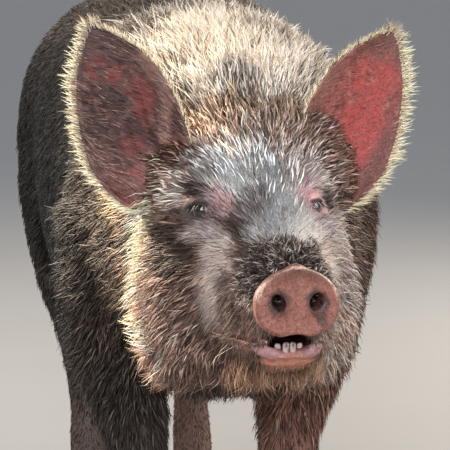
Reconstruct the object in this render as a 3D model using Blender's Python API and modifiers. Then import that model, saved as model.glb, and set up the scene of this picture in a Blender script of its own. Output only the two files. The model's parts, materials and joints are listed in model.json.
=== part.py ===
"""A domestic pig of about 110 kg, standing, life size.

Metres, +Z up. The snout points to -Y, the pig's left side is +X and it stands on z = 0, with the
origin on the floor under the middle of its box. Its flesh is shaped as one body and then parted
with thin cuts, and the coat's longest bristles are fused on as flat, tapered locks.
"""

import math
import random

import bmesh
import bpy
import numpy as np
from mathutils import Matrix, Vector
from mathutils.bvhtree import BVHTree

# Driving dimensions, in metres
WITHERS = 0.72
BARREL = 0.175
TRUNK_FRONT = -0.50
TRUNK_REAR = 0.66
EYE_MIDDLE = Vector((0.0, -0.545, 0.555))
HEAD_YAW = math.radians(4.8)
HEAD_PITCH = math.radians(1.0)
EAR_LENGTH = 0.174
EYE_RADIUS = 0.0125
DISC_HALF = Vector((0.0445, 0.014, 0.0370))
FORE_FOOT = Vector((0.088, -0.255, 0.0))
HIND_FOOT = Vector((0.076, 0.440, 0.0))
GAP = 0.0003
CENTRE_SHIFT = Vector((0.0012, 0.0018, 0.0))

# Mesh fineness
VOXEL = 0.008
SMOOTH_PASSES = 7
FLESH_TRIANGLES = 4150
HEAD_FINENESS = 0.12
RING = 28

# Height and width of the trunk and neck at shares of its length: top and belly are shares of
# WITHERS, the half width is a share of BARREL, and the last value is how far it sways to the left
TRUNK = (
    (0.000, 0.880, 0.600, 0.50, 0.003),
    (0.045, 0.925, 0.550, 0.70, 0.006),
    (0.090, 0.958, 0.495, 0.84, 0.009),
    (0.150, 0.985, 0.450, 0.94, 0.011),
    (0.225, 1.003, 0.430, 0.99, 0.012),
    (0.330, 1.025, 0.412, 0.99, 0.010),
    (0.475, 1.052, 0.376, 1.02, 0.006),
    (0.600, 1.060, 0.380, 1.00, 0.004),
    (0.720, 1.050, 0.430, 0.96, 0.002),
    (0.830, 1.018, 0.490, 1.00, 0.000),
    (0.915, 0.965, 0.540, 0.90, 0.000),
    (0.972, 0.890, 0.600, 0.62, 0.000),
    (1.000, 0.820, 0.670, 0.28, 0.000),
)
TRUNK_POWER = (2.3, 2.4)
SHOULDER_SWAY = 0.008

# The head in its own frame, from the middle of the eyes: y back, top, bottom, half width
HEAD = (
    (0.130, 0.078, -0.150, 0.092),
    (0.105, 0.096, -0.172, 0.104),
    (0.065, 0.090, -0.182, 0.109),
    (0.025, 0.066, -0.180, 0.106),
    (-0.015, 0.036, -0.176, 0.095),
    (-0.050, 0.011, -0.170, 0.077),
    (-0.085, -0.008, -0.163, 0.062),
    (-0.115, -0.020, -0.158, 0.053),
    (-0.138, -0.029, -0.150, 0.048),
    (-0.156, -0.034, -0.138, 0.044),
)
HEAD_POWER = (2.0, 2.7)

# Legs from top to ground: height, outward, backward, half width, half depth
FORELEG = (
    (0.520, 0.030, 0.020, 0.060, 0.110),
    (0.430, 0.028, 0.020, 0.066, 0.100),
    (0.350, 0.024, 0.030, 0.060, 0.078),
    (0.290, 0.012, 0.024, 0.050, 0.060),
    (0.240, 0.004, 0.012, 0.040, 0.046),
    (0.200, 0.000, 0.004, 0.037, 0.041),
    (0.165, 0.000, 0.004, 0.034, 0.037),
    (0.125, 0.000, 0.008, 0.029, 0.032),
    (0.085, 0.000, 0.008, 0.033, 0.036),
    (0.055, 0.000, -0.004, 0.033, 0.036),
    (0.030, 0.000, -0.012, 0.032, 0.036),
)
HINDLEG = (
    (0.560, 0.022, 0.000, 0.070, 0.130),
    (0.460, 0.034, -0.020, 0.070, 0.132),
    (0.380, 0.036, -0.035, 0.056, 0.105),
    (0.310, 0.030, 0.005, 0.044, 0.070),
    (0.260, 0.020, 0.040, 0.034, 0.052),
    (0.220, 0.010, 0.052, 0.032, 0.045),
    (0.180, 0.004, 0.045, 0.030, 0.036),
    (0.125, 0.000, 0.030, 0.028, 0.032),
    (0.085, 0.000, 0.018, 0.032, 0.035),
    (0.055, 0.000, 0.004, 0.032, 0.035),
    (0.030, 0.000, -0.006, 0.031, 0.035),
)

# Rounded masses on one side of the head, in its frame: middle, radii
HEAD_MASSES = {
    "jowl": ((0.062, 0.045, -0.105), (0.053, 0.082, 0.076)),
    "cheekbone": ((0.062, 0.028, -0.022), (0.036, 0.056, 0.034)),
    "brow": ((0.044, 0.026, 0.026), (0.036, 0.044, 0.028)),
    "chin": ((0.010, -0.116, -0.134), (0.032, 0.036, 0.022)),
    "muzzle": ((0.018, -0.125, -0.080), (0.034, 0.036, 0.036)),
}
# The same on one side of the body, in the pig's frame
BODY_MASSES = {
    "shoulder": ((0.096, -0.235, 0.490), (0.080, 0.125, 0.160)),
    "brisket": ((0.030, -0.330, 0.380), (0.075, 0.085, 0.070)),
    "ham": ((0.092, 0.480, 0.520), (0.084, 0.150, 0.165)),
    "belly": ((0.040, 0.080, 0.375), (0.110, 0.270, 0.100)),
}

# Sculpted lines on one side of the head, in its frame: path, reach, push along the normal
HEAD_LINES = {
    "socket": (((0.066, -0.010, 0.000),), 0.020, -0.005),
    "brow_ridge": (((0.040, -0.024, 0.026), (0.060, -0.004, 0.026), (0.080, 0.020, 0.018)), 0.012, 0.005),
    "under_eye": (((0.054, -0.026, -0.022), (0.074, -0.002, -0.024), (0.088, 0.030, -0.012)), 0.011, 0.003),
    "tear_groove": (((0.050, -0.030, -0.010), (0.044, -0.065, -0.034)), 0.009, -0.003),
    "temple": (((0.088, 0.050, 0.030),), 0.028, -0.006),
    "dish": (((0.000, -0.055, 0.008), (0.000, -0.090, -0.010)), 0.024, -0.003),
    "nose_side": (((0.040, -0.075, -0.050), (0.042, -0.130, -0.062)), 0.014, -0.003),
    "upper_lip": (
        (
            (0.012, -0.152, -0.112),
            (0.036, -0.142, -0.113),
            (0.052, -0.104, -0.114),
            (0.060, -0.070, -0.112),
        ),
        0.007, 0.0025,
    ),
    "lower_lip": (
        (
            (0.000, -0.150, -0.132),
            (0.034, -0.138, -0.129),
            (0.052, -0.100, -0.127),
            (0.060, -0.070, -0.124),
        ),
        0.006, 0.004,
    ),
    "chin_crease": (((0.000, -0.148, -0.140), (0.032, -0.134, -0.139)), 0.005, -0.002),
    "jowl_crease": (((0.104, 0.105, 0.000), (0.112, 0.105, -0.080), (0.080, 0.105, -0.170)), 0.017, -0.005),
    "nose_wrinkle_back": (
        ((0.034, -0.118, -0.045), (0.022, -0.122, -0.027), (0.000, -0.124, -0.022)),
        0.006, -0.0025,
    ),
    "nose_wrinkle_front": (
        ((0.036, -0.138, -0.052), (0.024, -0.141, -0.035), (0.000, -0.143, -0.029)),
        0.006, -0.003,
    ),
}
# The same on one side of the body
BODY_LINES = {
    "shoulder_edge": (
        ((0.168, -0.120, 0.620), (0.180, -0.105, 0.480), (0.160, -0.130, 0.370)),
        0.030, -0.009,
    ),
    "blade": (((0.100, -0.290, 0.660), (0.165, -0.260, 0.520)), 0.030, 0.006),
    "elbow": (((0.150, -0.165, 0.345),), 0.028, 0.008),
    "armpit": (((0.030, -0.235, 0.300),), 0.030, -0.010),
    "knee": (((0.088, -0.300, 0.190),), 0.020, 0.004),
    "flank_fold": (((0.170, 0.300, 0.440), (0.140, 0.330, 0.360)), 0.026, -0.012),
    "hip": (((0.120, 0.400, 0.730),), 0.035, 0.005),
    "hock": (((0.086, 0.545, 0.235),), 0.020, 0.006),
    "ham_cleft": (((0.000, 0.660, 0.560), (0.000, 0.640, 0.440), (0.000, 0.580, 0.360)), 0.020, -0.022),
    "spine": (((0.000, 0.050, 0.765), (0.000, 0.350, 0.760)), 0.020, -0.003),
}

# Ear sheet from its lobe to its tip: share, run along the ear, inner edge, outer edge, hollow
EAR = (
    (0.00, -0.054, -0.006, 0.014, 0.012),
    (0.07, -0.046, -0.020, 0.036, 0.018),
    (0.17, -0.026, -0.034, 0.054, 0.026),
    (0.32, 0.010, -0.044, 0.066, 0.030),
    (0.48, 0.048, -0.048, 0.063, 0.026),
    (0.64, 0.084, -0.045, 0.052, 0.019),
    (0.79, 0.116, -0.034, 0.037, 0.012),
    (0.92, 0.142, -0.017, 0.017, 0.005),
    (1.00, 0.160, -0.003, 0.003, 0.001),
)
EAR_BASE = {1: Vector((0.100, 0.076, 0.044)), -1: Vector((0.094, 0.070, 0.048))}
EAR_LINE = {1: Vector((0.510, 0.110, 0.850)), -1: Vector((0.400, 0.120, 0.890))}
EAR_FACING = {1: Vector((0.020, -0.990, -0.100)), -1: Vector((0.250, -0.940, -0.100))}
EAR_THICK = 0.0046

# The eye: place in the head, outward direction, half width and half height of the opening
EYE_AT = Vector((0.0574, -0.0040, 0.0000))
EYE_OUT = Vector((0.720, -0.690, 0.060))
EYE_OPENING = (0.0126, 0.0056)
LID = 0.0026
EYE_STEPS = 2

# The mouth, from the side in the head's frame: y and z of the line, and how far it stands open
MOUTH_FRONT = (-0.200, -0.1215)
MOUTH_CORNER = (-0.078, -0.1200)
LIP_GAP = 0.0010
MOUTH_HALF = 0.027
MOUTH_SHIFT = -0.003
MOUTH_RISE = 0.0125
MOUTH_DIP = 0.0080
MOUTH_DEEP = 0.050
JAW_ANGLE = (0.020, -0.230)
TOOTH = (0.0034, 0.0030, 0.0140)

# Where the flesh is parted: y at mid height (z = 0.4) and lean of the planes
HEAD_CUT = (-0.418, 0.16)
NECK_CUT = (-0.350, 0.22)
# Room of a leg, from its foot: inner, outer, front, back, height inside, height outside
FORE_ROOM = (0.012, 0.240, -0.100, 0.125, 0.318, 0.350)
HIND_ROOM = (0.008, 0.240, -0.120, 0.235, 0.345, 0.395)

# Hooves: height, half width, front, back; and where they stand under each kind of foot
CLAW = (
    (0.000, 0.0140, -0.036, 0.024),
    (0.004, 0.0148, -0.036, 0.025),
    (0.016, 0.0148, -0.030, 0.026),
    (0.030, 0.0140, -0.022, 0.026),
    (0.036, 0.0132, -0.017, 0.025),
)
CLAW_TOP = 0.036
CLAW_CLEFT = 0.004
CLAW_SHIFT = {"fore": -0.010, "hind": -0.008}
DEWCLAW_BACK = {"fore": 0.030, "hind": 0.036}
TAIL_ROOT = (0.630, 0.600)
DISC_AT = Vector((0.0, -0.148, -0.0770))
DISC_TILT = math.radians(-4.0)
DISC_PEAK = 0.005
NOSTRIL = (0.0062, 0.0080)
NOSTRIL_AT = (0.0200, -0.001)
# Depth in front of the disc's middle and share of its outline, then depth, share and shift of a nostril.
DISC_ROWS = (
    (0.000, 0.90),
    (-0.004, 0.97),
    (-0.012, 1.0),
    (-0.018, 0.985),
    (-0.0205, 0.93),
    (-0.0200, 0.82),
    (-0.0185, 0.55),
)
NOSTRIL_ROWS = (
    (-0.026, 1.5, 0.0),
    (-0.0190, 1.0, 0.0),
    (-0.014, 0.80, 0.001),
    (-0.006, 0.62, 0.002),
)
TOOTH_AT = (-0.1445, -0.1265)
EAR_BEND = 0.010

# Locks of the long bristles: for each zone a count, the space between roots, length, width, lift
LOCK_THICK = 0.0020
LOCK_SINK = 0.0045
LOCK_CLEAR = 0.0007
LOCK_ZONES = {
    "cheek": (38, 0.0220, 0.046, 0.0150, 0.22),
    "throat": (11, 0.024, 0.044, 0.0150, 0.26),
    "chin": (8, 0.017, 0.030, 0.0100, 0.28),
    "neck": (42, 0.0265, 0.062, 0.0225, 0.16),
    "crest": (32, 0.035, 0.072, 0.0240, 0.18),
    "shoulder": (44, 0.0385, 0.076, 0.0280, 0.13),
}
CREST_END = 0.22
EAR_LOCKS = (12, 5)
EAR_LOCK = (0.027, 0.0180, 0.0016)
TAIL_LOCKS = 5
TAIL_LOCK = (0.050, 0.0075, 0.0020)

rng = random.Random(11)
parts = None


def collection(name):
    made = bpy.data.collections.new(name)
    bpy.context.scene.collection.children.link(made)
    return made


def new_object(name, mesh):
    obj = bpy.data.objects.new(name, mesh)
    parts.objects.link(obj)
    return obj


def from_bmesh(name, bm):
    bmesh.ops.recalc_face_normals(bm, faces=bm.faces)
    mesh = bpy.data.meshes.new(name)
    bm.to_mesh(mesh)
    bm.free()
    return new_object(name, mesh)


def remove(*objects):
    for obj in objects:
        bpy.data.objects.remove(obj)


def apply_modifiers(obj):
    """Replaces the mesh by what the modifiers make of it."""
    graph = bpy.context.evaluated_depsgraph_get()
    made = bpy.data.meshes.new_from_object(obj.evaluated_get(graph))
    obj.modifiers.clear()
    obj.data = made
    return obj


def material(name, colour, roughness):
    made = bpy.data.materials.new(name)
    made.use_nodes = True
    shader = made.node_tree.nodes["Principled BSDF"]
    shader.inputs["Base Color"].default_value = (*colour, 1.0)
    shader.inputs["Roughness"].default_value = roughness
    shader.inputs["Metallic"].default_value = 0.0
    return made


def finish(obj, finish_material):
    obj.data.materials.clear()
    obj.data.materials.append(finish_material)
    obj.data.shade_smooth()
    obj.data.set_sharp_from_angle(angle=math.radians(50))
    return obj


def head_matrix():
    """From the head's frame, which starts at the middle of the eyes, to the pig's."""
    turn = Matrix.Rotation(HEAD_YAW, 4, "Z") @ Matrix.Rotation(-HEAD_PITCH, 4, "X")
    return Matrix.Translation(EYE_MIDDLE) @ turn


def mirrored(point, side):
    return Vector((point[0] * side, point[1], point[2]))


def curve_value(rows, share, column):
    """Catmull-Rom value of a column of a table whose first column rises from row to row."""
    last = len(rows) - 1
    i = 0
    while i < last - 1 and rows[i + 1][0] < share:
        i += 1
    t = (share - rows[i][0]) / (rows[i + 1][0] - rows[i][0])
    t = min(max(t, 0.0), 1.0)
    before, a, b, after = (rows[min(max(k, 0), last)][column] for k in (i - 1, i, i + 1, i + 2))
    bend = 2 * before - 5 * a + 4 * b - after
    twist = 3 * a - before - 3 * b + after
    return 0.5 * (2 * a + (b - before) * t + bend * t**2 + twist * t**3)


def oval(angle, half_x, half_z, power):
    """A point of a rounded, slightly square outline."""
    c, s = math.cos(angle), math.sin(angle)
    x = math.copysign(abs(c) ** (2 / power), c) * half_x
    z = math.copysign(abs(s) ** (2 / power), s) * half_z
    return x, z


def loft(name, rings):
    """One closed body through rings that have the same number of points."""
    bm = bmesh.new()
    rows = [[bm.verts.new(p) for p in ring] for ring in rings]
    count = len(rows[0])
    for one, two in zip(rows, rows[1:]):
        for i in range(count):
            j = (i + 1) % count
            bm.faces.new((one[i], one[j], two[j], two[i]))
    bm.faces.new(reversed(rows[0]))
    bm.faces.new(rows[-1])
    return from_bmesh(name, bm)


def round_ring(middle, one, other, count):
    """A ring of points round a middle, in the plane of two half axes."""
    turns = [math.tau * i / count for i in range(count)]
    return [middle + one * math.cos(turn) + other * math.sin(turn) for turn in turns]


def upright_ring(y, top, bottom, half, powers, sway=0.0):
    ring = []
    for i in range(RING):
        power = powers[0] if i < RING / 2 else powers[1]
        x, z = oval(math.tau * i / RING, half, (top - bottom) / 2, power)
        ring.append(Vector((x + sway, y, (top + bottom) / 2 + z)))
    return ring


def make_trunk():
    length = TRUNK_REAR - TRUNK_FRONT
    rings = [
        upright_ring(
            TRUNK_FRONT + share * length, top * WITHERS, belly * WITHERS, half * BARREL, TRUNK_POWER, sway
        )
        for share, top, belly, half, sway in TRUNK
    ]
    return loft("trunk", rings)


def make_skull():
    at = head_matrix()
    rings = [[at @ p for p in upright_ring(*row, HEAD_POWER)] for row in HEAD]
    return loft("skull", rings)


def make_leg(rows, foot, side):
    rings = []
    for height, out, back, half_width, half_depth in rows:
        ring = []
        for i in range(RING):
            x, y = oval(math.tau * i / RING, half_width, half_depth, 2.1)
            ring.append(Vector((side * (foot.x + out) + x, foot.y + back + y, height)))
        rings.append(ring)
    return loft("leg", rings)


def make_mass(middle, radii, side, frame):
    bm = bmesh.new()
    bmesh.ops.create_uvsphere(bm, u_segments=20, v_segments=14, radius=1.0)
    place = frame @ Matrix.Translation(mirrored(middle, side)) @ Matrix.Diagonal((*radii, 1.0))
    bmesh.ops.transform(bm, matrix=place, verts=bm.verts)
    return from_bmesh("mass", bm)


def joined(objects, name):
    """All the meshes in one object, still overlapping."""
    bm = bmesh.new()
    for obj in objects:
        bm.from_mesh(obj.data)
    remove(*objects)
    return from_bmesh(name, bm)


def sculpt(points, normals, path, reach, push):
    """Moves the points near a path along their normals, fading with the distance."""
    nearest = np.full(len(points), np.inf)
    path = np.array(path, float)
    if len(path) == 1:
        path = np.vstack([path, path + 1e-6])
    for a, b in zip(path, path[1:]):
        along = np.clip(((points - a) @ (b - a)) / max((b - a) @ (b - a), 1e-12), 0, 1)
        nearest = np.minimum(nearest, np.linalg.norm(points - a - along[:, None] * (b - a), axis=1))
    return points + normals * (push * np.exp(-((nearest / reach) ** 2)))[:, None]


def sculpt_lines(obj):
    """Works the head's and the body's folds, ridges and hollows into the flesh, on both sides."""
    mesh = obj.data
    points = np.empty(len(mesh.vertices) * 3, np.float32)
    mesh.vertices.foreach_get("co", points)
    points = points.reshape(-1, 3).astype(float)
    normals = np.empty(len(mesh.vertices) * 3, np.float32)
    mesh.vertex_normals.foreach_get("vector", normals)
    normals = normals.reshape(-1, 3).astype(float)
    for lines, frame in ((HEAD_LINES, head_matrix()), (BODY_LINES, Matrix.Identity(4))):
        for path, reach, push in lines.values():
            on_middle = all(p[0] == 0.0 for p in path)
            for side in (1,) if on_middle else (1, -1):
                placed = [tuple(frame @ mirrored(p, side)) for p in path]
                points = sculpt(points, normals, placed, reach, push)
    mesh.vertices.foreach_set("co", points.astype(np.float32).ravel())
    mesh.update()


def make_flesh():
    """The whole pig without ears, snout disc, eyes, tail and hooves, as one smooth closed body."""
    pieces = [make_trunk(), make_skull()]
    for side in (1, -1):
        pieces.append(make_leg(FORELEG, FORE_FOOT, side))
        pieces.append(make_leg(HINDLEG, HIND_FOOT, side))
        for middle, radii in HEAD_MASSES.values():
            pieces.append(make_mass(middle, radii, side, head_matrix()))
        for middle, radii in BODY_MASSES.values():
            sway = SHOULDER_SWAY if middle[1] < 0 else 0
            pieces.append(make_mass(middle, radii, side, Matrix.Translation((sway, 0, 0))))
    flesh = joined(pieces, "flesh")
    skin = flesh.modifiers.new("skin", "REMESH")
    skin.mode = "VOXEL"
    skin.voxel_size = VOXEL
    apply_modifiers(flesh)
    limbs = flesh.vertex_groups.new(name="limbs")
    rest = flesh.vertex_groups.new(name="rest")
    for v in flesh.data.vertices:
        (limbs if v.co.z < 0.30 else rest).add([v.index], 1.0, "REPLACE")
    for group, passes in (("rest", SMOOTH_PASSES * 3), ("limbs", SMOOTH_PASSES)):
        ease = flesh.modifiers.new("ease", "SMOOTH")
        ease.factor = 0.5
        ease.iterations = passes
        ease.vertex_group = group
    finer = flesh.modifiers.new("finer", "SUBSURF")
    finer.levels = finer.render_levels = 1
    apply_modifiers(flesh)
    sculpt_lines(flesh)
    return flesh


def thinned(obj, triangles):
    """Fewer triangles, with more kept where the surface bends."""
    now = sum(len(p.vertices) - 2 for p in obj.data.polygons)
    group = obj.vertex_groups.new(name="thin")
    for v in obj.data.vertices:
        share = 0.1 if v.co.y < -0.43 else 0.6 if v.co.z < 0.3 else 1.0
        group.add([v.index], share, "REPLACE")
    fewer = obj.modifiers.new("fewer", "DECIMATE")
    fewer.vertex_group = "thin"
    fewer.vertex_group_factor = HEAD_FINENESS
    fewer.ratio = min(1.0, triangles / now)
    fewer.use_collapse_triangulate = True
    return apply_modifiers(obj)


def boolean(obj, other, operation, solver="EXACT"):
    """Unites, differs or intersects with another object or collection and keeps the largest body."""
    step = obj.modifiers.new("cut", "BOOLEAN")
    step.operation = operation
    step.solver = solver
    if isinstance(other, bpy.types.Collection):
        step.operand_type = "COLLECTION"
        step.collection = other
    else:
        step.object = other
    apply_modifiers(obj)
    return keep_largest(obj)


def keep_largest(obj):
    """Drops every closed surface but the one with the most volume, and flat leftovers."""
    bm = bmesh.new()
    bm.from_mesh(obj.data)
    bmesh.ops.remove_doubles(bm, verts=bm.verts, dist=0.00002)
    bmesh.ops.dissolve_degenerate(bm, edges=bm.edges, dist=0.00001)
    bmesh.ops.triangulate(bm, faces=bm.faces)
    left = set(bm.faces)
    bodies = []
    while left:
        body = {left.pop()}
        front = list(body)
        while front:
            face = front.pop()
            for edge in face.edges:
                for other in edge.link_faces:
                    if other in left:
                        left.discard(other)
                        body.add(other)
                        front.append(other)
        bodies.append(body)
    if len(bodies) > 1:
        best = max(bodies, key=volume_of)
        drop = [face for body in bodies if body is not best for face in body]
        bmesh.ops.delete(bm, geom=drop, context="FACES")
        loose = [v for v in bm.verts if not v.link_faces]
        bmesh.ops.delete(bm, geom=loose, context="VERTS")
    bm.to_mesh(obj.data)
    bm.free()
    return obj


def volume_of(faces):
    total = 0.0
    for face in faces:
        a, b, c = (v.co for v in face.verts)
        total += a.dot(b.cross(c)) / 6
    return abs(total)


def copy_of(obj, name):
    return new_object(name, obj.data.copy())


def grown(obj, by):
    """A copy whose surface stands a little further out."""
    made = copy_of(obj, "grown")
    mesh = made.data
    normals = [v.normal.copy() for v in mesh.vertices]
    for vertex, normal in zip(mesh.vertices, normals):
        vertex.co += normal * by
    return made


def prism(name, outline, low, high, axis, frame):
    """A closed body from a flat outline drawn out along one axis of a frame."""
    rings = []
    for at in (low, high):
        ring = []
        for a, b in outline:
            p = {"X": (at, a, b), "Y": (a, at, b), "Z": (a, b, at)}[axis]
            ring.append(frame @ Vector(p))
        rings.append(ring)
    return loft(name, rings)


def slab(front, back):
    """The part of space between two planes across the body, given by y and lean (y per z)."""
    (y0, lean0), (y1, lean1) = front, back
    low = [(y0 - lean0 * 0.6, -0.2), (y1 - lean1 * 0.6, -0.2)]
    corners = low + [(y1 + lean1 * 0.6, 1.0), (y0 + lean0 * 0.6, 1.0)]
    return prism("slab", corners, -0.6, 0.6, "X", Matrix.Translation((0, 0, 0)))


def leg_volume(row, foot, side, grow):
    """The room of one leg: a prism that takes in the limb up to its slanting top."""
    inner, outer, front, back, low_top, high_top = row
    inner -= grow
    outer += grow
    top_lift = grow * 1.1
    tops = {inner: low_top + top_lift, outer: high_top + top_lift}
    bottom = [(inner, front - grow), (outer, front - grow), (outer, back + grow), (inner, back + grow)]
    rings = [
        [Vector((side * x, foot.y + y, -0.1)) for x, y in bottom],
        [Vector((side * x, foot.y + y, tops[x])) for x, y in bottom],
    ]
    return loft("leg room", rings)


def part_flesh(flesh):
    """Parts the whole flesh into head, neck, torso and legs, a hair's breadth from each other."""
    half = GAP / 2
    nodes = {}
    lengths = {
        "head": ((-1.2, 0.0), (HEAD_CUT[0] - half, HEAD_CUT[1])),
        "neck": ((HEAD_CUT[0] + half, HEAD_CUT[1]), (NECK_CUT[0] - half, NECK_CUT[1])),
        "torso": ((NECK_CUT[0] + half, NECK_CUT[1]), (1.2, 0.0)),
    }
    for name, (front, back) in lengths.items():
        nodes[name] = boolean(copy_of(flesh, name), slab(front, back), "INTERSECT")
    torso = nodes["torso"]
    for kind, row, foot in (("foreleg", FORE_ROOM, FORE_FOOT), ("hindleg", HIND_ROOM, HIND_FOOT)):
        for side, hand in ((1, "left"), (-1, "right")):
            name = f"{kind}_{hand}"
            nodes[name] = boolean(copy_of(flesh, name), leg_volume(row, foot, side, 0.0), "INTERSECT")
            torso = boolean(torso, leg_volume(row, foot, side, GAP), "DIFFERENCE")
    nodes["torso"] = torso
    for obj in [o for o in parts.objects if o.name.startswith(("slab", "leg room"))]:
        remove(obj)
    for name in ("foreleg_left", "foreleg_right", "hindleg_left", "hindleg_right"):
        square = [(-0.5, -1.0), (0.5, -1.0), (0.5, 1.0), (-0.5, 1.0)]
        ground = prism("ground", square, -0.1, CLAW_TOP + GAP, "Z", Matrix.Identity(4))
        nodes[name] = boolean(nodes[name], ground, "DIFFERENCE")
        remove(ground)
    return nodes


def ear_frame(side):
    """Along the ear, outward across it and out of its hollow, as the columns of a frame."""
    at = head_matrix()
    along = (at.to_3x3() @ mirrored(EAR_LINE[side], side)).normalized()
    facing = at.to_3x3() @ mirrored(EAR_FACING[side], side)
    facing = (facing - along * facing.dot(along)).normalized()
    across = along.cross(facing) * (-side)
    if across.x * side < 0:
        across = -across
    base = at @ mirrored(EAR_BASE[side], side)
    return base, along, across.normalized(), facing


def ear_point(side, share, across_share):
    """A point of the ear's sheet: share of its length from the lobe, -1 inner edge to 1 outer edge."""
    base, along, across, facing = ear_frame(side)
    rows = [(r[0], r[1], r[2], r[3], r[4]) for r in EAR]
    run, inner, outer, depth = (curve_value(rows, share, c) for c in (1, 2, 3, 4))
    middle = (outer + inner) / 2
    half = (outer - inner) / 2
    b = middle + half * across_share
    bend = EAR_BEND * max(0.0, run) ** 2 / EAR_LENGTH
    c = -depth * (1 - abs(across_share) ** 2.2) + bend
    return base + along * run + across * b + facing * c


def make_ear(side, name):
    """A leaf of even thickness, cupped at its base and drawn to a point."""
    long_steps, wide_steps = 13, 8
    bm = bmesh.new()
    grid = []
    for i in range(long_steps + 1):
        share = (i / long_steps) ** 0.93
        row = [ear_point(side, share, -1 + 2 * j / wide_steps) for j in range(wide_steps + 1)]
        grid.append([bm.verts.new(p) for p in row])
    for i in range(long_steps):
        for j in range(wide_steps):
            bm.faces.new((grid[i][j], grid[i + 1][j], grid[i + 1][j + 1], grid[i][j + 1]))
    bmesh.ops.triangulate(bm, faces=bm.faces)
    ear = from_bmesh(name, bm)
    facing = ear_frame(side)[3]
    if ear.data.polygons[60].normal.dot(facing) < 0:
        ear.data.flip_normals()
    thick = ear.modifiers.new("thick", "SOLIDIFY")
    thick.thickness = EAR_THICK
    thick.offset = -1.0
    thick.use_even_offset = False
    return apply_modifiers(ear)


def eye_frame(side):
    """Out of the eye, along the opening to its outer corner and up, with the eye's middle."""
    at = head_matrix()
    out = (at.to_3x3() @ mirrored(EYE_OUT, side)).normalized()
    up = at.to_3x3() @ Vector((0, 0.1, 1))
    up = (up - out * up.dot(out)).normalized()
    along = out.cross(up) * -side
    return at @ mirrored(EYE_AT, side), out, along, up


def almond(steps, half_width, half_height):
    """The outline of the eye's opening, with its corners at the ends."""
    points = []
    for i in range(steps):
        angle = math.tau * i / steps
        x = math.cos(angle)
        z = math.sin(angle) * (1 - 0.35 * x * x)
        points.append((x * half_width, z * half_height))
    return points


def make_eye(side, name):
    bm = bmesh.new()
    bmesh.ops.create_icosphere(bm, subdivisions=EYE_STEPS, radius=EYE_RADIUS)
    middle, out, along, up = eye_frame(side)
    bmesh.ops.translate(bm, vec=middle, verts=bm.verts)
    return from_bmesh(name, bm)


def open_eye(head, side):
    """Domes the lids over the eyeball, then cuts its socket and the opening between them."""
    middle, out, along, up = eye_frame(side)
    bm = bmesh.new()
    bmesh.ops.create_icosphere(bm, subdivisions=3, radius=EYE_RADIUS + LID)
    bmesh.ops.translate(bm, vec=middle, verts=bm.verts)
    head = boolean(head, from_bmesh("lids", bm), "UNION")
    bm = bmesh.new()
    bmesh.ops.create_icosphere(bm, subdivisions=EYE_STEPS, radius=EYE_RADIUS + GAP)
    bmesh.ops.translate(bm, vec=middle, verts=bm.verts)
    socket = from_bmesh("socket", bm)
    rings = []
    for reach, size in ((0.5, 0.62), (1.0, 1.0), (2.0, 1.9)):
        ring = []
        for a, b in almond(18, *EYE_OPENING):
            ring.append(middle + out * (EYE_RADIUS * reach) + (along * a + up * b) * size)
        rings.append(ring)
    head = boolean(head, boolean(socket, loft("opening", rings), "UNION"), "DIFFERENCE")
    for obj in [o for o in parts.objects if o.name.startswith(("lids", "socket", "opening"))]:
        remove(obj)
    return head


def disc_outline(angle, grow=0.0):
    """The rim of the snout disc: a shield with a small peak above and a notch below."""
    upper = math.sin(angle) > 0
    tall = DISC_HALF.z * (0.93 if upper else 1.0) + grow
    x, z = oval(angle, DISC_HALF.x + grow, tall, 1.85 if upper else 2.5)
    if upper:
        z += DISC_PEAK * math.exp(-((x / 0.007) ** 2))
    else:
        z += 0.0035 * math.exp(-((x / 0.006) ** 2))
    return x, z


def disc_matrix():
    return head_matrix() @ Matrix.Translation(DISC_AT) @ Matrix.Rotation(DISC_TILT, 4, "X")


def make_disc(name):
    """The snout disc with its rim, hollow face and two nostrils."""
    at = disc_matrix()
    steps = 26
    rings = []
    for y, share in DISC_ROWS:
        ring = []
        for i in range(steps):
            x, z = disc_outline(math.tau * i / steps)
            ring.append(at @ Vector((x * share, y, z * share)))
        rings.append(ring)
    disc = loft(name, rings)
    disc = keep_largest(disc)
    for side in (1, -1):
        rings = []
        for y, size, shift in NOSTRIL_ROWS:
            ring = []
            for i in range(12):
                x, z = oval(math.tau * i / 12, NOSTRIL[0] * size, NOSTRIL[1] * size, 2.0)
                z += x * 0.25 * side + NOSTRIL_AT[1] + shift
                x += side * (NOSTRIL_AT[0] - shift)
                ring.append(at @ Vector((x, y, z)))
            rings.append(ring)
        hole = loft("nostril", rings)
        disc = boolean(disc, hole, "DIFFERENCE")
        remove(hole)
    return disc


def front_cut(head):
    """Cuts the muzzle off flat, a hair's breadth behind the disc."""
    square = [(-0.2, -0.2), (0.2, -0.2), (0.2, 0.2), (-0.2, 0.2)]
    cutter = prism("front", square, -0.3, GAP, "Y", disc_matrix())
    head = boolean(head, cutter, "DIFFERENCE")
    remove(cutter)
    return head


def jaw_outline(lift):
    """The jaw's side view: along the lips to the corner of the mouth and down behind the chin."""
    (y0, z0), (y1, z1) = MOUTH_FRONT, MOUTH_CORNER
    y2, z2 = JAW_ANGLE
    back = GAP if lift > 0 else 0.0
    return [(y0, z0 + lift), (y1 - 0.02, z1 + lift), (y1 + back, z1 + back), (y2 + back, z2), (y0, z2)]


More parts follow.
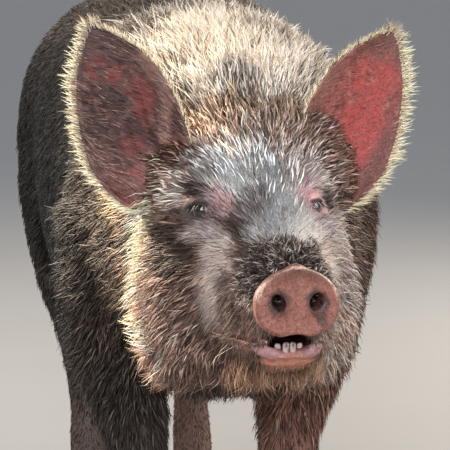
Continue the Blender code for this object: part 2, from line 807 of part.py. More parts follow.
def mouth_opening(at):
    """The lens between the lips, narrowing into the mouth."""
    rings = []
    front = MOUTH_FRONT[0]
    back = DISC_AT.y + MOUTH_DEEP
    for y, size in ((front, 1.0), (DISC_AT.y - 0.002, 1.0), (back - MOUTH_DEEP * 0.5, 0.80), (back, 0.45)):
        ring = []
        for i in range(16):
            angle = math.tau * i / 16
            x = math.cos(angle) * MOUTH_HALF * size + MOUTH_SHIFT
            z = math.sin(angle) * (MOUTH_RISE if math.sin(angle) > 0 else MOUTH_DIP) * size
            ring.append(at @ Vector((x, y, MOUTH_FRONT[1] + z)))
        rings.append(ring)
    return loft("opening", rings)


def part_jaw(head):
    """Takes the lower jaw off the head, leaving the lips open in front, and sets its teeth."""
    at = head_matrix()
    room = prism("jaw room", jaw_outline(0.0), -0.2, 0.2, "X", at)
    jaw = boolean(copy_of(head, "lower_jaw"), room, "INTERSECT")
    gap = prism("mouth gap", jaw_outline(LIP_GAP), -0.2, 0.2, "X", at)
    head = boolean(head, gap, "DIFFERENCE")
    opening = mouth_opening(at)
    head = boolean(head, opening, "DIFFERENCE")
    jaw = boolean(jaw, opening, "DIFFERENCE")
    remove(room, gap, opening)
    for x in (-1.5, -0.5, 0.5, 1.5):
        rings = []
        for z, size in ((-0.5, 1.0), (0.36, 1.0), (0.5, 0.66)):
            ring = []
            for i in range(6):
                a, b = oval(math.tau * i / 6, TOOTH[0] * size, TOOTH[1] * size, 3.0)
                a += MOUTH_SHIFT + x * TOOTH[0] * 2.12
                b += TOOTH_AT[0] + 0.0016 * x * x - z * 0.002
                ring.append(at @ Vector((a, b, TOOTH_AT[1] + z * TOOTH[2])))
            rings.append(ring)
        tooth = loft("tooth", rings)
        jaw = boolean(jaw, tooth, "UNION")
        remove(tooth)
    return head, jaw


def make_claw(foot, side, toe, name, kind):
    """One hoof: flat on the ground, sloping in front and rounded outside."""
    rings = []
    for z, half_w, front, back in CLAW:
        ring = []
        for i in range(12):
            a, b = oval(math.tau * i / 12, half_w, (back - front) / 2, 2.4)
            taper = 1.0 - 0.30 * max(0.0, -b / ((back - front) / 2)) ** 2
            x = side * foot.x + toe * (CLAW_CLEFT / 2 + half_w) + a * taper
            y = foot.y + (front + back) / 2 + b + CLAW_SHIFT[kind]
            ring.append(Vector((x, y, z)))
        rings.append(ring)
    return loft(name, rings)


def make_dewclaw(foot, side, toe, name, kind, leg):
    """A small hanging claw behind the pastern, standing just clear of the leg."""
    top = Vector((side * foot.x + toe * 0.016, foot.y + DEWCLAW_BACK[kind], 0.074))
    tip = top + Vector((toe * 0.003, 0.016, -0.028))
    axis = (tip - top).normalized()
    side_way = Vector((1, 0, 0))
    other = axis.cross(side_way).normalized()
    rings = []
    for share, size in ((-0.25, 0.80), (0.2, 1.0), (0.65, 0.80), (0.92, 0.45), (1.0, 0.15)):
        middle = top.lerp(tip, share)
        rings.append(round_ring(middle, side_way * (0.0075 * size), other * (0.0085 * size), 7))
    claw = loft(name, rings)
    clear = grown(leg, GAP)
    claw = boolean(claw, clear, "DIFFERENCE")
    remove(clear)
    return claw


def tail_point(share):
    """The tail's middle line: out of the rump, down, and once round in a loose curl."""
    start = Vector((0.0, TAIL_ROOT[0], TAIL_ROOT[1]))
    if share < 0.25:
        t = share / 0.25
        return start + Vector((0, 0.035 * t, -0.012 * t * t))
    t = (share - 0.25) / 0.75
    angle = math.tau * 1.15 * t
    radius = 0.030 * (1 - 0.25 * t)
    middle = start + Vector((0.040 * t + 0.006 * math.sin(angle), 0.043, -0.042 - 0.030 * t))
    return middle + Vector((0.0, math.sin(angle) * radius, math.cos(angle) * radius))


def make_tail(torso, name):
    steps = 20
    rings = []
    last = None
    for i in range(steps + 1):
        share = i / steps
        here = tail_point(share)
        ahead = (tail_point(min(1.0, share + 0.01)) - tail_point(max(0.0, share - 0.01))).normalized()
        side_way = Vector((1, 0, 0)) if last is None else last
        side_way = (side_way - ahead * side_way.dot(ahead)).normalized()
        last = side_way
        up = ahead.cross(side_way)
        radius = 0.0125 * (1 - share) + 0.0042 * share
        rings.append(round_ring(here, side_way * radius, up * radius, 8))
    tail = loft(name, rings)
    clear = grown(torso, GAP)
    tail = boolean(tail, clear, "DIFFERENCE")
    remove(clear)
    return tail


def lie_of(point):
    """Which way the coat lies: away from the snout on the head, back and down behind it."""
    snout = head_matrix() @ DISC_AT
    away = point - snout
    away.y *= 0.6
    away.z -= 0.03
    away.normalize()
    down = Vector((0, 1, -0.30 - 0.35 * min(1.0, abs(point.x) / BARREL)))
    if point.z > WITHERS * 0.93:
        down = Vector((point.x * 1.5, 1, -0.05))
    behind = min(max((point.y - EYE_MIDDLE.y - 0.02) / 0.14, 0.0), 1.0)
    return away.lerp(down.normalized(), behind).normalized()


def blade_ring(middle, across, up):
    """The three-sided section of a flat lock: two edges and a low ridge."""
    return [middle + across * 0.5 - up * 0.25, middle + up * 0.75, middle - across * 0.5 - up * 0.25]


def lock_rings(root, normal, lie, length, width, thick, lift):
    """Rings of a flat lock that rises from its sunk root and bends over towards its tip."""
    along = (lie - normal * lie.dot(normal)).normalized()
    side_way = normal.cross(along).normalized()
    turn = rng.uniform(-0.30, 0.30)
    rings = []
    for share, size in ((0.0, 0.85), (0.32, 1.0), (0.68, 0.56)):
        rise = lift * length * math.sin(share * 1.9) - (LOCK_SINK if share == 0.0 else 0.0)
        middle = root + along * (length * share) + normal * (rise + (0.001 if share else 0.0))
        middle += side_way * (length * turn * share * share)
        rings.append(blade_ring(middle, side_way * (width * size), normal * (thick * size)))
    tip = root + along * length + side_way * (length * turn)
    return rings, tip + normal * (lift * length * math.sin(1.9) + 0.0005)


def lock_mesh(rings, tip):
    bm = bmesh.new()
    rows = [[bm.verts.new(p) for p in ring] for ring in rings]
    end = bm.verts.new(tip)
    sides = len(rows[0])
    for one, two in zip(rows, rows[1:]):
        for i in range(sides):
            j = (i + 1) % sides
            bm.faces.new((one[i], one[j], two[j]))
            bm.faces.new((one[i], two[j], two[i]))
    for i in range(sides):
        bm.faces.new((rows[-1][i], rows[-1][(i + 1) % sides], end))
    bm.faces.new(reversed(rows[0]))
    bmesh.ops.triangulate(bm, faces=bm.faces)
    bmesh.ops.recalc_face_normals(bm, faces=bm.faces)
    return bm


def plant(bm, kept):
    mesh = bpy.data.meshes.new("lock")
    bm.to_mesh(mesh)
    bm.free()
    kept.objects.link(bpy.data.objects.new("lock", mesh))


def meets(bm, trees, clear):
    """Whether a lock crosses one of the given surfaces or comes closer than a clearance to it."""
    made = BVHTree.FromBMesh(bm)
    for tree in trees:
        if made.overlap(tree):
            return True
        if any(tree.find_nearest(v.co, clear)[0] is not None for v in bm.verts):
            return True
    return False


def tree_of(obj):
    bm = bmesh.new()
    bm.from_mesh(obj.data)
    made = BVHTree.FromBMesh(bm)
    bm.free()
    return made


def height_over(tree, point):
    """Distance above a surface, negative inside it."""
    at, normal, _, gap = tree.find_nearest(point)
    return gap if (point - at).dot(normal) > 0 else -gap


def surface_points(obj, count):
    """Random points of a mesh, even over its area, with their normals."""
    mesh = obj.data
    mesh.calc_loop_triangles()
    triangles = list(mesh.loop_triangles)
    areas = [t.area for t in triangles]
    picks = rng.choices(range(len(triangles)), weights=areas, k=count)
    for k in picks:
        a, b, c = (mesh.vertices[i].co for i in triangles[k].vertices)
        u, v = rng.random(), rng.random()
        if u + v > 1:
            u, v = 1 - u, 1 - v
        yield a + (b - a) * u + (c - a) * v, triangles[k].normal.copy()


def zone_of(name, point, normal):
    """The zone of long bristles that a point of a node lies in, if any."""
    p = head_matrix().inverted() @ point
    if name == "lower_jaw":
        return "chin" if p.z < -0.142 and p.y > -0.140 else None
    if name == "head":
        if abs(p.x) > 0.060 and -0.040 < p.y and p.z < -0.030 and p.y < 0.105:
            return "cheek"
        if p.z < -0.130 and 0.0 < p.y < 0.100:
            return "throat"
        return None
    if name == "neck":
        return "crest" if point.z > 0.63 else "neck"
    if name == "torso":
        if point.y < CREST_END and normal.z > 0.75:
            return "crest"
        if point.y < -0.10 and point.z > 0.37:
            return "shoulder"
    return None


def grow_coat(nodes, flesh_tree):
    """Fuses the locks of each zone to their nodes, clear of every other node and its locks."""
    head_at = head_matrix()
    eyes = [head_at @ mirrored(EYE_AT, side) for side in (1, -1)]
    trees = {name: [tree_of(obj)] for name, obj in nodes.items()}
    for name in ("head", "lower_jaw", "neck", "torso"):
        obj = nodes[name]
        kept = collection("locks of " + name)
        rooted = {}
        near = [tree for other in trees if other != name for tree in trees[other]]
        for point, normal in surface_points(obj, 9000):
            zone = zone_of(name, point, normal)
            if zone is None:
                continue
            count, space, length, width, lift = LOCK_ZONES[zone]
            mine = rooted.setdefault(zone, [])
            if len(mine) >= count or any((point - q).length < space for q in mine):
                continue
            at, way, _, gap = flesh_tree.find_nearest(point)
            if gap > 0.0004 or way.dot(normal) < 0.9 or any((point - e).length < 0.035 for e in eyes):
                continue
            length *= rng.uniform(0.8, 1.15)
            width *= rng.uniform(0.85, 1.1)
            rings, tip = lock_rings(point, normal, lie_of(point), length, width, LOCK_THICK, lift)
            free = [p for ring in rings[1:] for p in ring] + [tip]
            if min(height_over(flesh_tree, p) for p in free) < LOCK_CLEAR:
                continue
            lock = lock_mesh(rings, tip)
            if meets(lock, near, 0.0008):
                lock.free()
                continue
            mine.append(point)
            trees[name].append(BVHTree.FromBMesh(lock))
            plant(lock, kept)
        nodes[name] = fuse(obj, kept)


def fuse(obj, kept):
    """One union of a node with its collection of locks."""
    if kept.objects:
        before = len(obj.data.polygons)
        whole = obj.data.copy()
        boolean(obj, kept, "UNION")
        if len(obj.data.polygons) < before:
            obj.data = whole
            boolean(obj, kept, "UNION", "MANIFOLD")
    for lock in list(kept.objects):
        bpy.data.objects.remove(lock)
    bpy.data.collections.remove(kept)
    return obj


def fringe_ear(ear, side, near):
    """Overlapping locks along both edges of an ear, bending towards its tip, clear of its neighbours."""
    kept = collection("fringe")
    facing = ear_frame(side)[3]
    length, width, thick = EAR_LOCK
    for edge, count, first, last in ((1, EAR_LOCKS[0], 0.06, 0.96), (-1, EAR_LOCKS[1], 0.44, 0.95)):
        for index in range(count):
            share = first + (last - first) * index / (count - 1)
            size = rng.uniform(0.8, 1.12) * (0.75 if share > 0.88 else 1.0)
            rim = ear_point(side, share, edge)
            inside = ear_point(side, share, edge * 0.86)
            ahead = ear_point(side, min(1.0, share + 0.03), edge) - ear_point(side, share - 0.03, edge)
            ahead.normalize()
            out = (rim - inside).normalized() * 0.82
            root = rim - facing * (EAR_THICK * 0.5)
            rings = []
            for run, scale in ((-0.14, 0.8), (0.34, 1.0), (0.70, 0.68)):
                middle = root + (out * run + ahead * (0.2 * run + 0.55 * run * abs(run))) * (length * size)
                way = (ahead - out * 0.43 * run).normalized()
                flat = way.cross(out).normalized()
                rings.append(blade_ring(middle, way * (width * scale), flat * (thick * scale)))
            lock = lock_mesh(rings, root + (out + ahead * 0.75) * (length * size))
            if meets(lock, near, 0.0012):
                lock.free()
            else:
                plant(lock, kept)
    return fuse(ear, kept)


def tuft_tail(tail, near):
    """The brush of longer hair round the end of the tail, clear of the rump."""
    kept = collection("brush")
    length, width, thick = TAIL_LOCK
    for k in range(TAIL_LOCKS):
        share = 0.66 + 0.32 * k / (TAIL_LOCKS - 1)
        here = tail_point(share)
        ahead = (tail_point(min(1.0, share + 0.02)) - tail_point(share - 0.02)).normalized()
        out = (here - tail_point(0.5)).normalized()
        stray = Vector((rng.uniform(-0.3, 0.3), 0.1, -0.35))
        lie = (ahead * 0.9 + out * rng.uniform(0.1, 0.5) + stray).normalized()
        way = lie.cross(out).normalized()
        flat = way.cross(lie).normalized()
        rings = []
        for run, scale in ((-0.02, 0.8), (0.36, 1.0), (0.72, 0.62)):
            middle = here + lie * (length * run) - Vector((0, 0, 0.010 * run * run))
            rings.append(blade_ring(middle, way * (width * scale), flat * (thick * scale)))
        lock = lock_mesh(rings, here + lie * length - Vector((0, 0, 0.012)))
        if meets(lock, near, 0.0012):
            lock.free()
        else:
            plant(lock, kept)
    return fuse(tail, kept)


def main():
    global parts
    for obj in list(bpy.data.objects):
        bpy.data.objects.remove(obj)
    parts = collection("pig")
    flesh = make_flesh()
    thinned(flesh, FLESH_TRIANGLES)
    keep_largest(flesh)
    flesh_tree = tree_of(flesh)
    nodes = part_flesh(flesh)
    remove(flesh)
    hands = ((1, "left"), (-1, "right"))
    head = front_cut(nodes["head"])
    ears = []
    for side, hand in hands:
        head = open_eye(head, side)
        nodes[f"eye_{hand}"] = make_eye(side, f"eye_{hand}")
    head, jaw = part_jaw(head)
    nodes["head"], nodes["lower_jaw"] = head, jaw
    clear = grown(head, GAP)
    clear_neck = grown(nodes["neck"], GAP)
    for side, hand in hands:
        ear = make_ear(side, f"ear_{hand}")
        ear = boolean(ear, clear, "DIFFERENCE")
        nodes[f"ear_{hand}"] = boolean(ear, clear_neck, "DIFFERENCE")
    remove(clear, clear_neck)
    nodes["snout_disc"] = make_disc("snout_disc")
    for kind, foot in (("fore", FORE_FOOT), ("hind", HIND_FOOT)):
        for side, hand in hands:
            for toe, which in ((side, "outer"), (-side, "inner")):
                name = f"{kind}_{hand}_{which}"
                nodes["hoof_" + name] = make_claw(foot, side, toe, "hoof_" + name, kind)
                leg = nodes[f"{kind}leg_{hand}"]
                nodes["dewclaw_" + name] = make_dewclaw(foot, side, toe, "dewclaw_" + name, kind, leg)
    nodes["tail"] = tuft_tail(make_tail(nodes["torso"], "tail"), [tree_of(nodes["torso"])])
    near = [tree_of(nodes[name]) for name in ("head", "neck")]
    for side, hand in hands:
        nodes[f"ear_{hand}"] = fringe_ear(nodes[f"ear_{hand}"], side, near)
    grow_coat(nodes, flesh_tree)
    finishes = {
        "coat": material("coat", (0.42, 0.34, 0.30), 0.75),
        "ear": material("ear_skin", (0.55, 0.25, 0.22), 0.7),
        "disc": material("snout_skin", (0.62, 0.32, 0.27), 0.5),
        "eye": material("eye", (0.05, 0.04, 0.04), 0.12),
        "horn": material("horn", (0.20, 0.16, 0.13), 0.55),
    }
    for name, obj in nodes.items():
        kind = "coat"
        if name.startswith("ear"):
            kind = "ear"
        elif name.startswith("eye"):
            kind = "eye"
        elif name == "snout_disc":
            kind = "disc"
        elif name.startswith(("hoof", "dewclaw")):
            kind = "horn"
        obj.name = name
        finish(keep_largest(obj), finishes[kind])
        if CENTRE_SHIFT.length > 0:
            obj.data.transform(Matrix.Translation(CENTRE_SHIFT))


main()
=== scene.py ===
import math
import random

import bmesh
import bpy
import numpy as np
from mathutils import Matrix, Vector
from mathutils.bvhtree import BVHTree
from mathutils.kdtree import KDTree
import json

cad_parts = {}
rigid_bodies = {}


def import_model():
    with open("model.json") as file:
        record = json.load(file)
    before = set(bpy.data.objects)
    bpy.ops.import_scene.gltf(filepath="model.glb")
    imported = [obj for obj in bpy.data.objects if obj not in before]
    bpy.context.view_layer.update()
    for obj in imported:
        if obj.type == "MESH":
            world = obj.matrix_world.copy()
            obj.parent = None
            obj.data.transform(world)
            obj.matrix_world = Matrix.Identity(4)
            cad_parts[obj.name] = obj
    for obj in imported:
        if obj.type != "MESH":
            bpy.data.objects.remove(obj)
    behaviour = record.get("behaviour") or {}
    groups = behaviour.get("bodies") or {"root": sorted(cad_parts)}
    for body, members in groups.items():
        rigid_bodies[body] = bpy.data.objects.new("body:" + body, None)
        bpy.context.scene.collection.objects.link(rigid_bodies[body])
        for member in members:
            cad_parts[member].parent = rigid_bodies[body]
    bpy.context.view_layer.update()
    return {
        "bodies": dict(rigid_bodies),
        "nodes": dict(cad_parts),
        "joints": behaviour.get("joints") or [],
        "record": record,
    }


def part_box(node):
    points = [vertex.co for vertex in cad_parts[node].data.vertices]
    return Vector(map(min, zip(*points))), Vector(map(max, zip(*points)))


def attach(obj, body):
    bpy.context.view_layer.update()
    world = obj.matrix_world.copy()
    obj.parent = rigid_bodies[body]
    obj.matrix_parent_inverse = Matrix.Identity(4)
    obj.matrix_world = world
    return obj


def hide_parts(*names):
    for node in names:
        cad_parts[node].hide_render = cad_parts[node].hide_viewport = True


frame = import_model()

# A standing domestic pig in the frame of its solids: one skin over the flesh, with ears, snout disc,
# lids and mouth, then eyes, teeth, hooves and the coat as mesh tufts. The shapes come from the same
# named sizes as the solids, and are made finer here.

random.seed(5)
draw = np.random.default_rng(5)


def newObject(name, mesh):
    obj = bpy.data.objects.new(name, mesh)
    bpy.context.scene.collection.objects.link(obj)
    return obj


def fromBmesh(name, bm):
    bmesh.ops.recalc_face_normals(bm, faces=bm.faces)
    mesh = bpy.data.meshes.new(name)
    bm.to_mesh(mesh)
    bm.free()
    return newObject(name, mesh)


def remove(*objects):
    for obj in objects:
        bpy.data.objects.remove(obj)


def applyModifiers(obj):
    graph = bpy.context.evaluated_depsgraph_get()
    made = bpy.data.meshes.new_from_object(obj.evaluated_get(graph))
    obj.modifiers.clear()
    obj.data = made
    return obj


# From the head's frame, which starts at the middle of the eyes, to the pig's.
def headMatrix():
    turn = Matrix.Rotation(headYaw, 4, "Z") @ Matrix.Rotation(-headPitch, 4, "X")
    return Matrix.Translation(eyeMiddle) @ turn


def mirrored(point, side):
    return Vector((point[0] * side, point[1], point[2]))


def readPoints(mesh):
    points = np.empty(len(mesh.vertices) * 3, np.float32)
    mesh.vertices.foreach_get("co", points)
    return points.reshape(-1, 3).astype(float)


def readNormals(mesh):
    normals = np.empty(len(mesh.vertices) * 3, np.float32)
    mesh.vertex_normals.foreach_get("vector", normals)
    return normals.reshape(-1, 3).astype(float)


def writePoints(mesh, points):
    mesh.vertices.foreach_set("co", points.astype(np.float32).ravel())
    mesh.update()


# Points of the pig's frame in the frame of the given matrix.
def inFrame(points, matrix):
    back = np.array(matrix.inverted())
    return points @ back[:3, :3].T + back[:3, 3]


def smoothStep(low, high, value):
    t = np.clip((value - low) / (high - low), 0, 1)
    return t * t * (3 - 2 * t)


lattice = draw.random((24, 24, 24))


# Soft noise from 0 to 1 with spots of about the given size in metres.
def cloud(points, size, octaves=3, shift=0.0):
    total = np.zeros(len(points))
    weight = 0.0
    for k in range(octaves):
        q = points / (size / 2**k) + 7.3 * k + shift
        base = np.floor(q).astype(int)
        f = q - base
        f = f * f * (3 - 2 * f)
        for corner in range(8):
            offset = np.array([(corner >> axis) & 1 for axis in range(3)])
            i = (base + offset) % 24
            share = np.prod(np.where(offset, f, 1 - f), axis=1)
            total += share * lattice[i[:, 0], i[:, 1], i[:, 2]] * 0.5**k
        weight += 0.5**k
    return total / weight


# Distance of points from a spot, in the spot's own radii.
def fromSpot(points, middle, radii):
    return np.linalg.norm((points - np.array(middle)) / np.array(radii), axis=1)


# Linear colour from the usual 0 to 255 scale.
def tone(red, green, blue):
    c = np.array([red, green, blue]) / 255
    return np.where(c <= 0.04045, c / 12.92, ((c + 0.055) / 1.055) ** 2.4)


# Driving dimensions, in metres
withers = 0.72
barrel = 0.175
trunkFront = -0.50
trunkRear = 0.66
eyeMiddle = Vector((0.0, -0.545, 0.555))
headYaw = math.radians(4.8)
headPitch = math.radians(1.0)
earLength = 0.174
eyeRadius = 0.0125
discHalf = Vector((0.0445, 0.014, 0.0370))
foreFoot = Vector((0.088, -0.255, 0.0))
hindFoot = Vector((0.076, 0.440, 0.0))

# Mesh fineness
voxel = 0.008
smoothPasses = 7
ringSteps = 28

# Height and width of the trunk and neck at shares of its length: top and belly are shares of
# withers, the half width is a share of barrel, and the last value is how far it sways to the left
trunkRows = (
    (0.000, 0.880, 0.600, 0.50, 0.003),
    (0.045, 0.925, 0.550, 0.70, 0.006),
    (0.090, 0.958, 0.495, 0.84, 0.009),
    (0.150, 0.985, 0.450, 0.94, 0.011),
    (0.225, 1.003, 0.430, 0.99, 0.012),
    (0.330, 1.025, 0.412, 0.99, 0.010),
    (0.475, 1.052, 0.376, 1.02, 0.006),
    (0.600, 1.060, 0.380, 1.00, 0.004),
    (0.720, 1.050, 0.430, 0.96, 0.002),
    (0.830, 1.018, 0.490, 1.00, 0.000),
    (0.915, 0.965, 0.540, 0.90, 0.000),
    (0.972, 0.890, 0.600, 0.62, 0.000),
    (1.000, 0.820, 0.670, 0.28, 0.000),
)
trunkPower = (2.3, 2.4)
shoulderSway = 0.008

# The head in its own frame, from the middle of the eyes: y back, top, bottom, half width
headRows = (
    (0.130, 0.078, -0.150, 0.092),
    (0.105, 0.096, -0.172, 0.104),
    (0.065, 0.090, -0.182, 0.109),
    (0.025, 0.066, -0.180, 0.106),
    (-0.015, 0.036, -0.176, 0.095),
    (-0.050, 0.011, -0.170, 0.077),
    (-0.085, -0.008, -0.163, 0.062),
    (-0.115, -0.020, -0.158, 0.053),
    (-0.138, -0.029, -0.150, 0.048),
    (-0.156, -0.034, -0.138, 0.044),
)
headPower = (2.0, 2.7)

# Legs from top to ground: height, outward, backward, half width, half depth
forelegRows = (
    (0.520, 0.030, 0.020, 0.060, 0.110),
    (0.430, 0.028, 0.020, 0.066, 0.100),
    (0.350, 0.024, 0.030, 0.060, 0.078),
    (0.290, 0.012, 0.024, 0.050, 0.060),
    (0.240, 0.004, 0.012, 0.040, 0.046),
    (0.200, 0.000, 0.004, 0.037, 0.041),
    (0.165, 0.000, 0.004, 0.034, 0.037),
    (0.125, 0.000, 0.008, 0.029, 0.032),
    (0.085, 0.000, 0.008, 0.033, 0.036),
    (0.055, 0.000, -0.004, 0.033, 0.036),
    (0.030, 0.000, -0.012, 0.032, 0.036),
)
hindlegRows = (
    (0.560, 0.022, 0.000, 0.070, 0.130),
    (0.460, 0.034, -0.020, 0.070, 0.132),
    (0.380, 0.036, -0.035, 0.056, 0.105),
    (0.310, 0.030, 0.005, 0.044, 0.070),
    (0.260, 0.020, 0.040, 0.034, 0.052),
    (0.220, 0.010, 0.052, 0.032, 0.045),
    (0.180, 0.004, 0.045, 0.030, 0.036),
    (0.125, 0.000, 0.030, 0.028, 0.032),
    (0.085, 0.000, 0.018, 0.032, 0.035),
    (0.055, 0.000, 0.004, 0.032, 0.035),
    (0.030, 0.000, -0.006, 0.031, 0.035),
)

# Rounded masses on one side of the head, in its frame: middle, radii
headMasses = {
    "jowl": ((0.062, 0.045, -0.105), (0.053, 0.082, 0.076)),
    "cheekbone": ((0.062, 0.028, -0.022), (0.036, 0.056, 0.034)),
    "brow": ((0.044, 0.026, 0.026), (0.036, 0.044, 0.028)),
    "chin": ((0.010, -0.116, -0.134), (0.032, 0.036, 0.022)),
    "muzzle": ((0.018, -0.125, -0.080), (0.034, 0.036, 0.036)),
}
# The same on one side of the body, in the pig's frame
bodyMasses = {
    "shoulder": ((0.096, -0.235, 0.490), (0.080, 0.125, 0.160)),
    "brisket": ((0.030, -0.330, 0.380), (0.075, 0.085, 0.070)),
    "ham": ((0.092, 0.480, 0.520), (0.084, 0.150, 0.165)),
    "belly": ((0.040, 0.080, 0.375), (0.110, 0.270, 0.100)),
}

# Sculpted lines on one side of the head, in its frame: path, reach, push along the normal
headLines = {
    "socket": (((0.066, -0.010, 0.000),), 0.020, -0.005),
    "brow_ridge": (
        ((0.040, -0.024, 0.026), (0.060, -0.004, 0.026), (0.080, 0.020, 0.018)),
        0.012, 0.005,
    ),
    "under_eye": (
        ((0.054, -0.026, -0.022), (0.074, -0.002, -0.024), (0.088, 0.030, -0.012)),
        0.011, 0.003,
    ),
    "tear_groove": (((0.050, -0.030, -0.010), (0.044, -0.065, -0.034)), 0.009, -0.003),
    "temple": (((0.088, 0.050, 0.030),), 0.028, -0.006),
    "dish": (((0.000, -0.055, 0.008), (0.000, -0.090, -0.010)), 0.024, -0.003),
    "nose_side": (((0.040, -0.075, -0.050), (0.042, -0.130, -0.062)), 0.014, -0.003),
    "upper_lip": (
        (
            (0.012, -0.152, -0.112),
            (0.036, -0.142, -0.113),
            (0.052, -0.104, -0.114),
            (0.060, -0.070, -0.112),
        ),
        0.007, 0.0025,
    ),
    "lower_lip": (
        (
            (0.000, -0.150, -0.132),
            (0.034, -0.138, -0.129),
            (0.052, -0.100, -0.127),
            (0.060, -0.070, -0.124),
        ),
        0.006, 0.004,
    ),
    "chin_crease": (((0.000, -0.148, -0.140), (0.032, -0.134, -0.139)), 0.005, -0.002),
    "jowl_crease": (
        ((0.104, 0.105, 0.000), (0.112, 0.105, -0.080), (0.080, 0.105, -0.170)),
        0.017, -0.005,
    ),
    "nose_wrinkle_back": (
        ((0.034, -0.118, -0.045), (0.022, -0.122, -0.027), (0.000, -0.124, -0.022)),
        0.006, -0.0025,
    ),
    "nose_wrinkle_front": (
        ((0.036, -0.138, -0.052), (0.024, -0.141, -0.035), (0.000, -0.143, -0.029)),
        0.006, -0.003,
    ),
}
# The same on one side of the body
bodyLines = {
    "shoulder_edge": (
        ((0.168, -0.120, 0.620), (0.180, -0.105, 0.480), (0.160, -0.130, 0.370)),
        0.030, -0.009,
    ),
    "blade": (((0.100, -0.290, 0.660), (0.165, -0.260, 0.520)), 0.030, 0.006),
    "elbow": (((0.150, -0.165, 0.345),), 0.028, 0.008),
    "armpit": (((0.030, -0.235, 0.300),), 0.030, -0.010),
    "knee": (((0.088, -0.300, 0.190),), 0.020, 0.004),
    "flank_fold": (((0.170, 0.300, 0.440), (0.140, 0.330, 0.360)), 0.026, -0.012),
    "hip": (((0.120, 0.400, 0.730),), 0.035, 0.005),
    "hock": (((0.086, 0.545, 0.235),), 0.020, 0.006),
    "ham_cleft": (((0.000, 0.660, 0.560), (0.000, 0.640, 0.440), (0.000, 0.580, 0.360)), 0.020, -0.022),
    "spine": (((0.000, 0.050, 0.765), (0.000, 0.350, 0.760)), 0.020, -0.003),
}

# Ear sheet from its lobe to its tip: share, run along the ear, inner edge, outer edge, hollow
earRows = (
    (0.00, -0.054, -0.006, 0.014, 0.012),
    (0.07, -0.046, -0.020, 0.036, 0.018),
    (0.17, -0.026, -0.034, 0.054, 0.026),
    (0.32, 0.010, -0.044, 0.066, 0.030),
    (0.48, 0.048, -0.048, 0.063, 0.026),
    (0.64, 0.084, -0.045, 0.052, 0.019),
    (0.79, 0.116, -0.034, 0.037, 0.012),
    (0.92, 0.142, -0.017, 0.017, 0.005),
    (1.00, 0.160, -0.003, 0.003, 0.001),
)
earBase = {1: Vector((0.100, 0.076, 0.044)), -1: Vector((0.094, 0.070, 0.048))}
earLine = {1: Vector((0.510, 0.110, 0.850)), -1: Vector((0.400, 0.120, 0.890))}
earFacing = {1: Vector((0.020, -0.990, -0.100)), -1: Vector((0.250, -0.940, -0.100))}

# The eye: place in the head, outward direction, half width and half height of the opening
eyeAt = Vector((0.0574, -0.0040, 0.0000))
eyeOut = Vector((0.720, -0.690, 0.060))
eyeOpening = (0.0128, 0.0062)
lid = 0.0026

# The mouth, from the side in the head's frame: y and z of the line, and how far it stands open
mouthFront = (-0.200, -0.1215)
mouthCorner = (-0.078, -0.1200)
lipGap = 0.0010
mouthHalf = 0.0235
mouthShift = -0.003
mouthRise = 0.0125
mouthDip = 0.0060
mouthDeep = 0.050
tooth = (0.0034, 0.0030, 0.0140)

# Hooves: height, half width, front, back; and where they stand under each kind of foot
clawRows = (
    (0.000, 0.0140, -0.036, 0.024),
    (0.004, 0.0148, -0.036, 0.025),
    (0.016, 0.0148, -0.030, 0.026),
    (0.030, 0.0140, -0.022, 0.026),
    (0.036, 0.0132, -0.017, 0.025),
)
clawCleft = 0.004
clawShift = {"fore": -0.010, "hind": -0.008}
dewclawBack = {"fore": 0.030, "hind": 0.036}
tailRoot = (0.630, 0.600)
discAt = Vector((0.0, -0.148, -0.0770))
discTilt = math.radians(-4.0)
discPeak = 0.0042
nostril = (0.0068, 0.0078)
nostrilAt = (0.0200, -0.001)
toothAt = (-0.1445, -0.1265)
earBend = 0.010


# Catmull-Rom value of a column of a table whose first column rises from row to row.
def curveValue(rows, share, column):
    last = len(rows) - 1
    i = 0
    while i < last - 1 and rows[i + 1][0] < share:
        i += 1
    t = (share - rows[i][0]) / (rows[i + 1][0] - rows[i][0])
    t = min(max(t, 0.0), 1.0)
    before, a, b, after = (rows[min(max(k, 0), last)][column] for k in (i - 1, i, i + 1, i + 2))
    bend = 2 * before - 5 * a + 4 * b - after
    twist = 3 * a - before - 3 * b + after
    return 0.5 * (2 * a + (b - before) * t + bend * t**2 + twist * t**3)


# A point of a rounded, slightly square outline.
def oval(angle, halfX, halfZ, power):
    c, s = math.cos(angle), math.sin(angle)
    x = math.copysign(abs(c) ** (2 / power), c) * halfX
    z = math.copysign(abs(s) ** (2 / power), s) * halfZ
    return x, z


# One closed body through rings that have the same number of points.
def loft(name, rings):
    bm = bmesh.new()
    rows = [[bm.verts.new(p) for p in ring] for ring in rings]
    count = len(rows[0])
    for one, two in zip(rows, rows[1:]):
        for i in range(count):
            j = (i + 1) % count
            bm.faces.new((one[i], one[j], two[j], two[i]))
    bm.faces.new(reversed(rows[0]))
    bm.faces.new(rows[-1])
    return fromBmesh(name, bm)


# A ring of points round a middle, in the plane of two half axes.
def roundRing(middle, one, other, count):
    turns = [math.tau * i / count for i in range(count)]
    return [middle + one * math.cos(turn) + other * math.sin(turn) for turn in turns]


def uprightRing(y, top, bottom, half, powers, sway=0.0):
    ring = []
    for i in range(ringSteps):
        power = powers[0] if i < ringSteps / 2 else powers[1]
        x, z = oval(math.tau * i / ringSteps, half, (top - bottom) / 2, power)
        ring.append(Vector((x + sway, y, (top + bottom) / 2 + z)))
    return ring


def makeTrunk():
    length = trunkRear - trunkFront
    rings = [
        uprightRing(
            trunkFront + share * length, top * withers, belly * withers, half * barrel, trunkPower, sway
        )
        for share, top, belly, half, sway in trunkRows
    ]
    return loft("trunk", rings)


def makeSkull():
    at = headMatrix()
    rings = [[at @ p for p in uprightRing(*row, headPower)] for row in headRows]
    return loft("skull", rings)


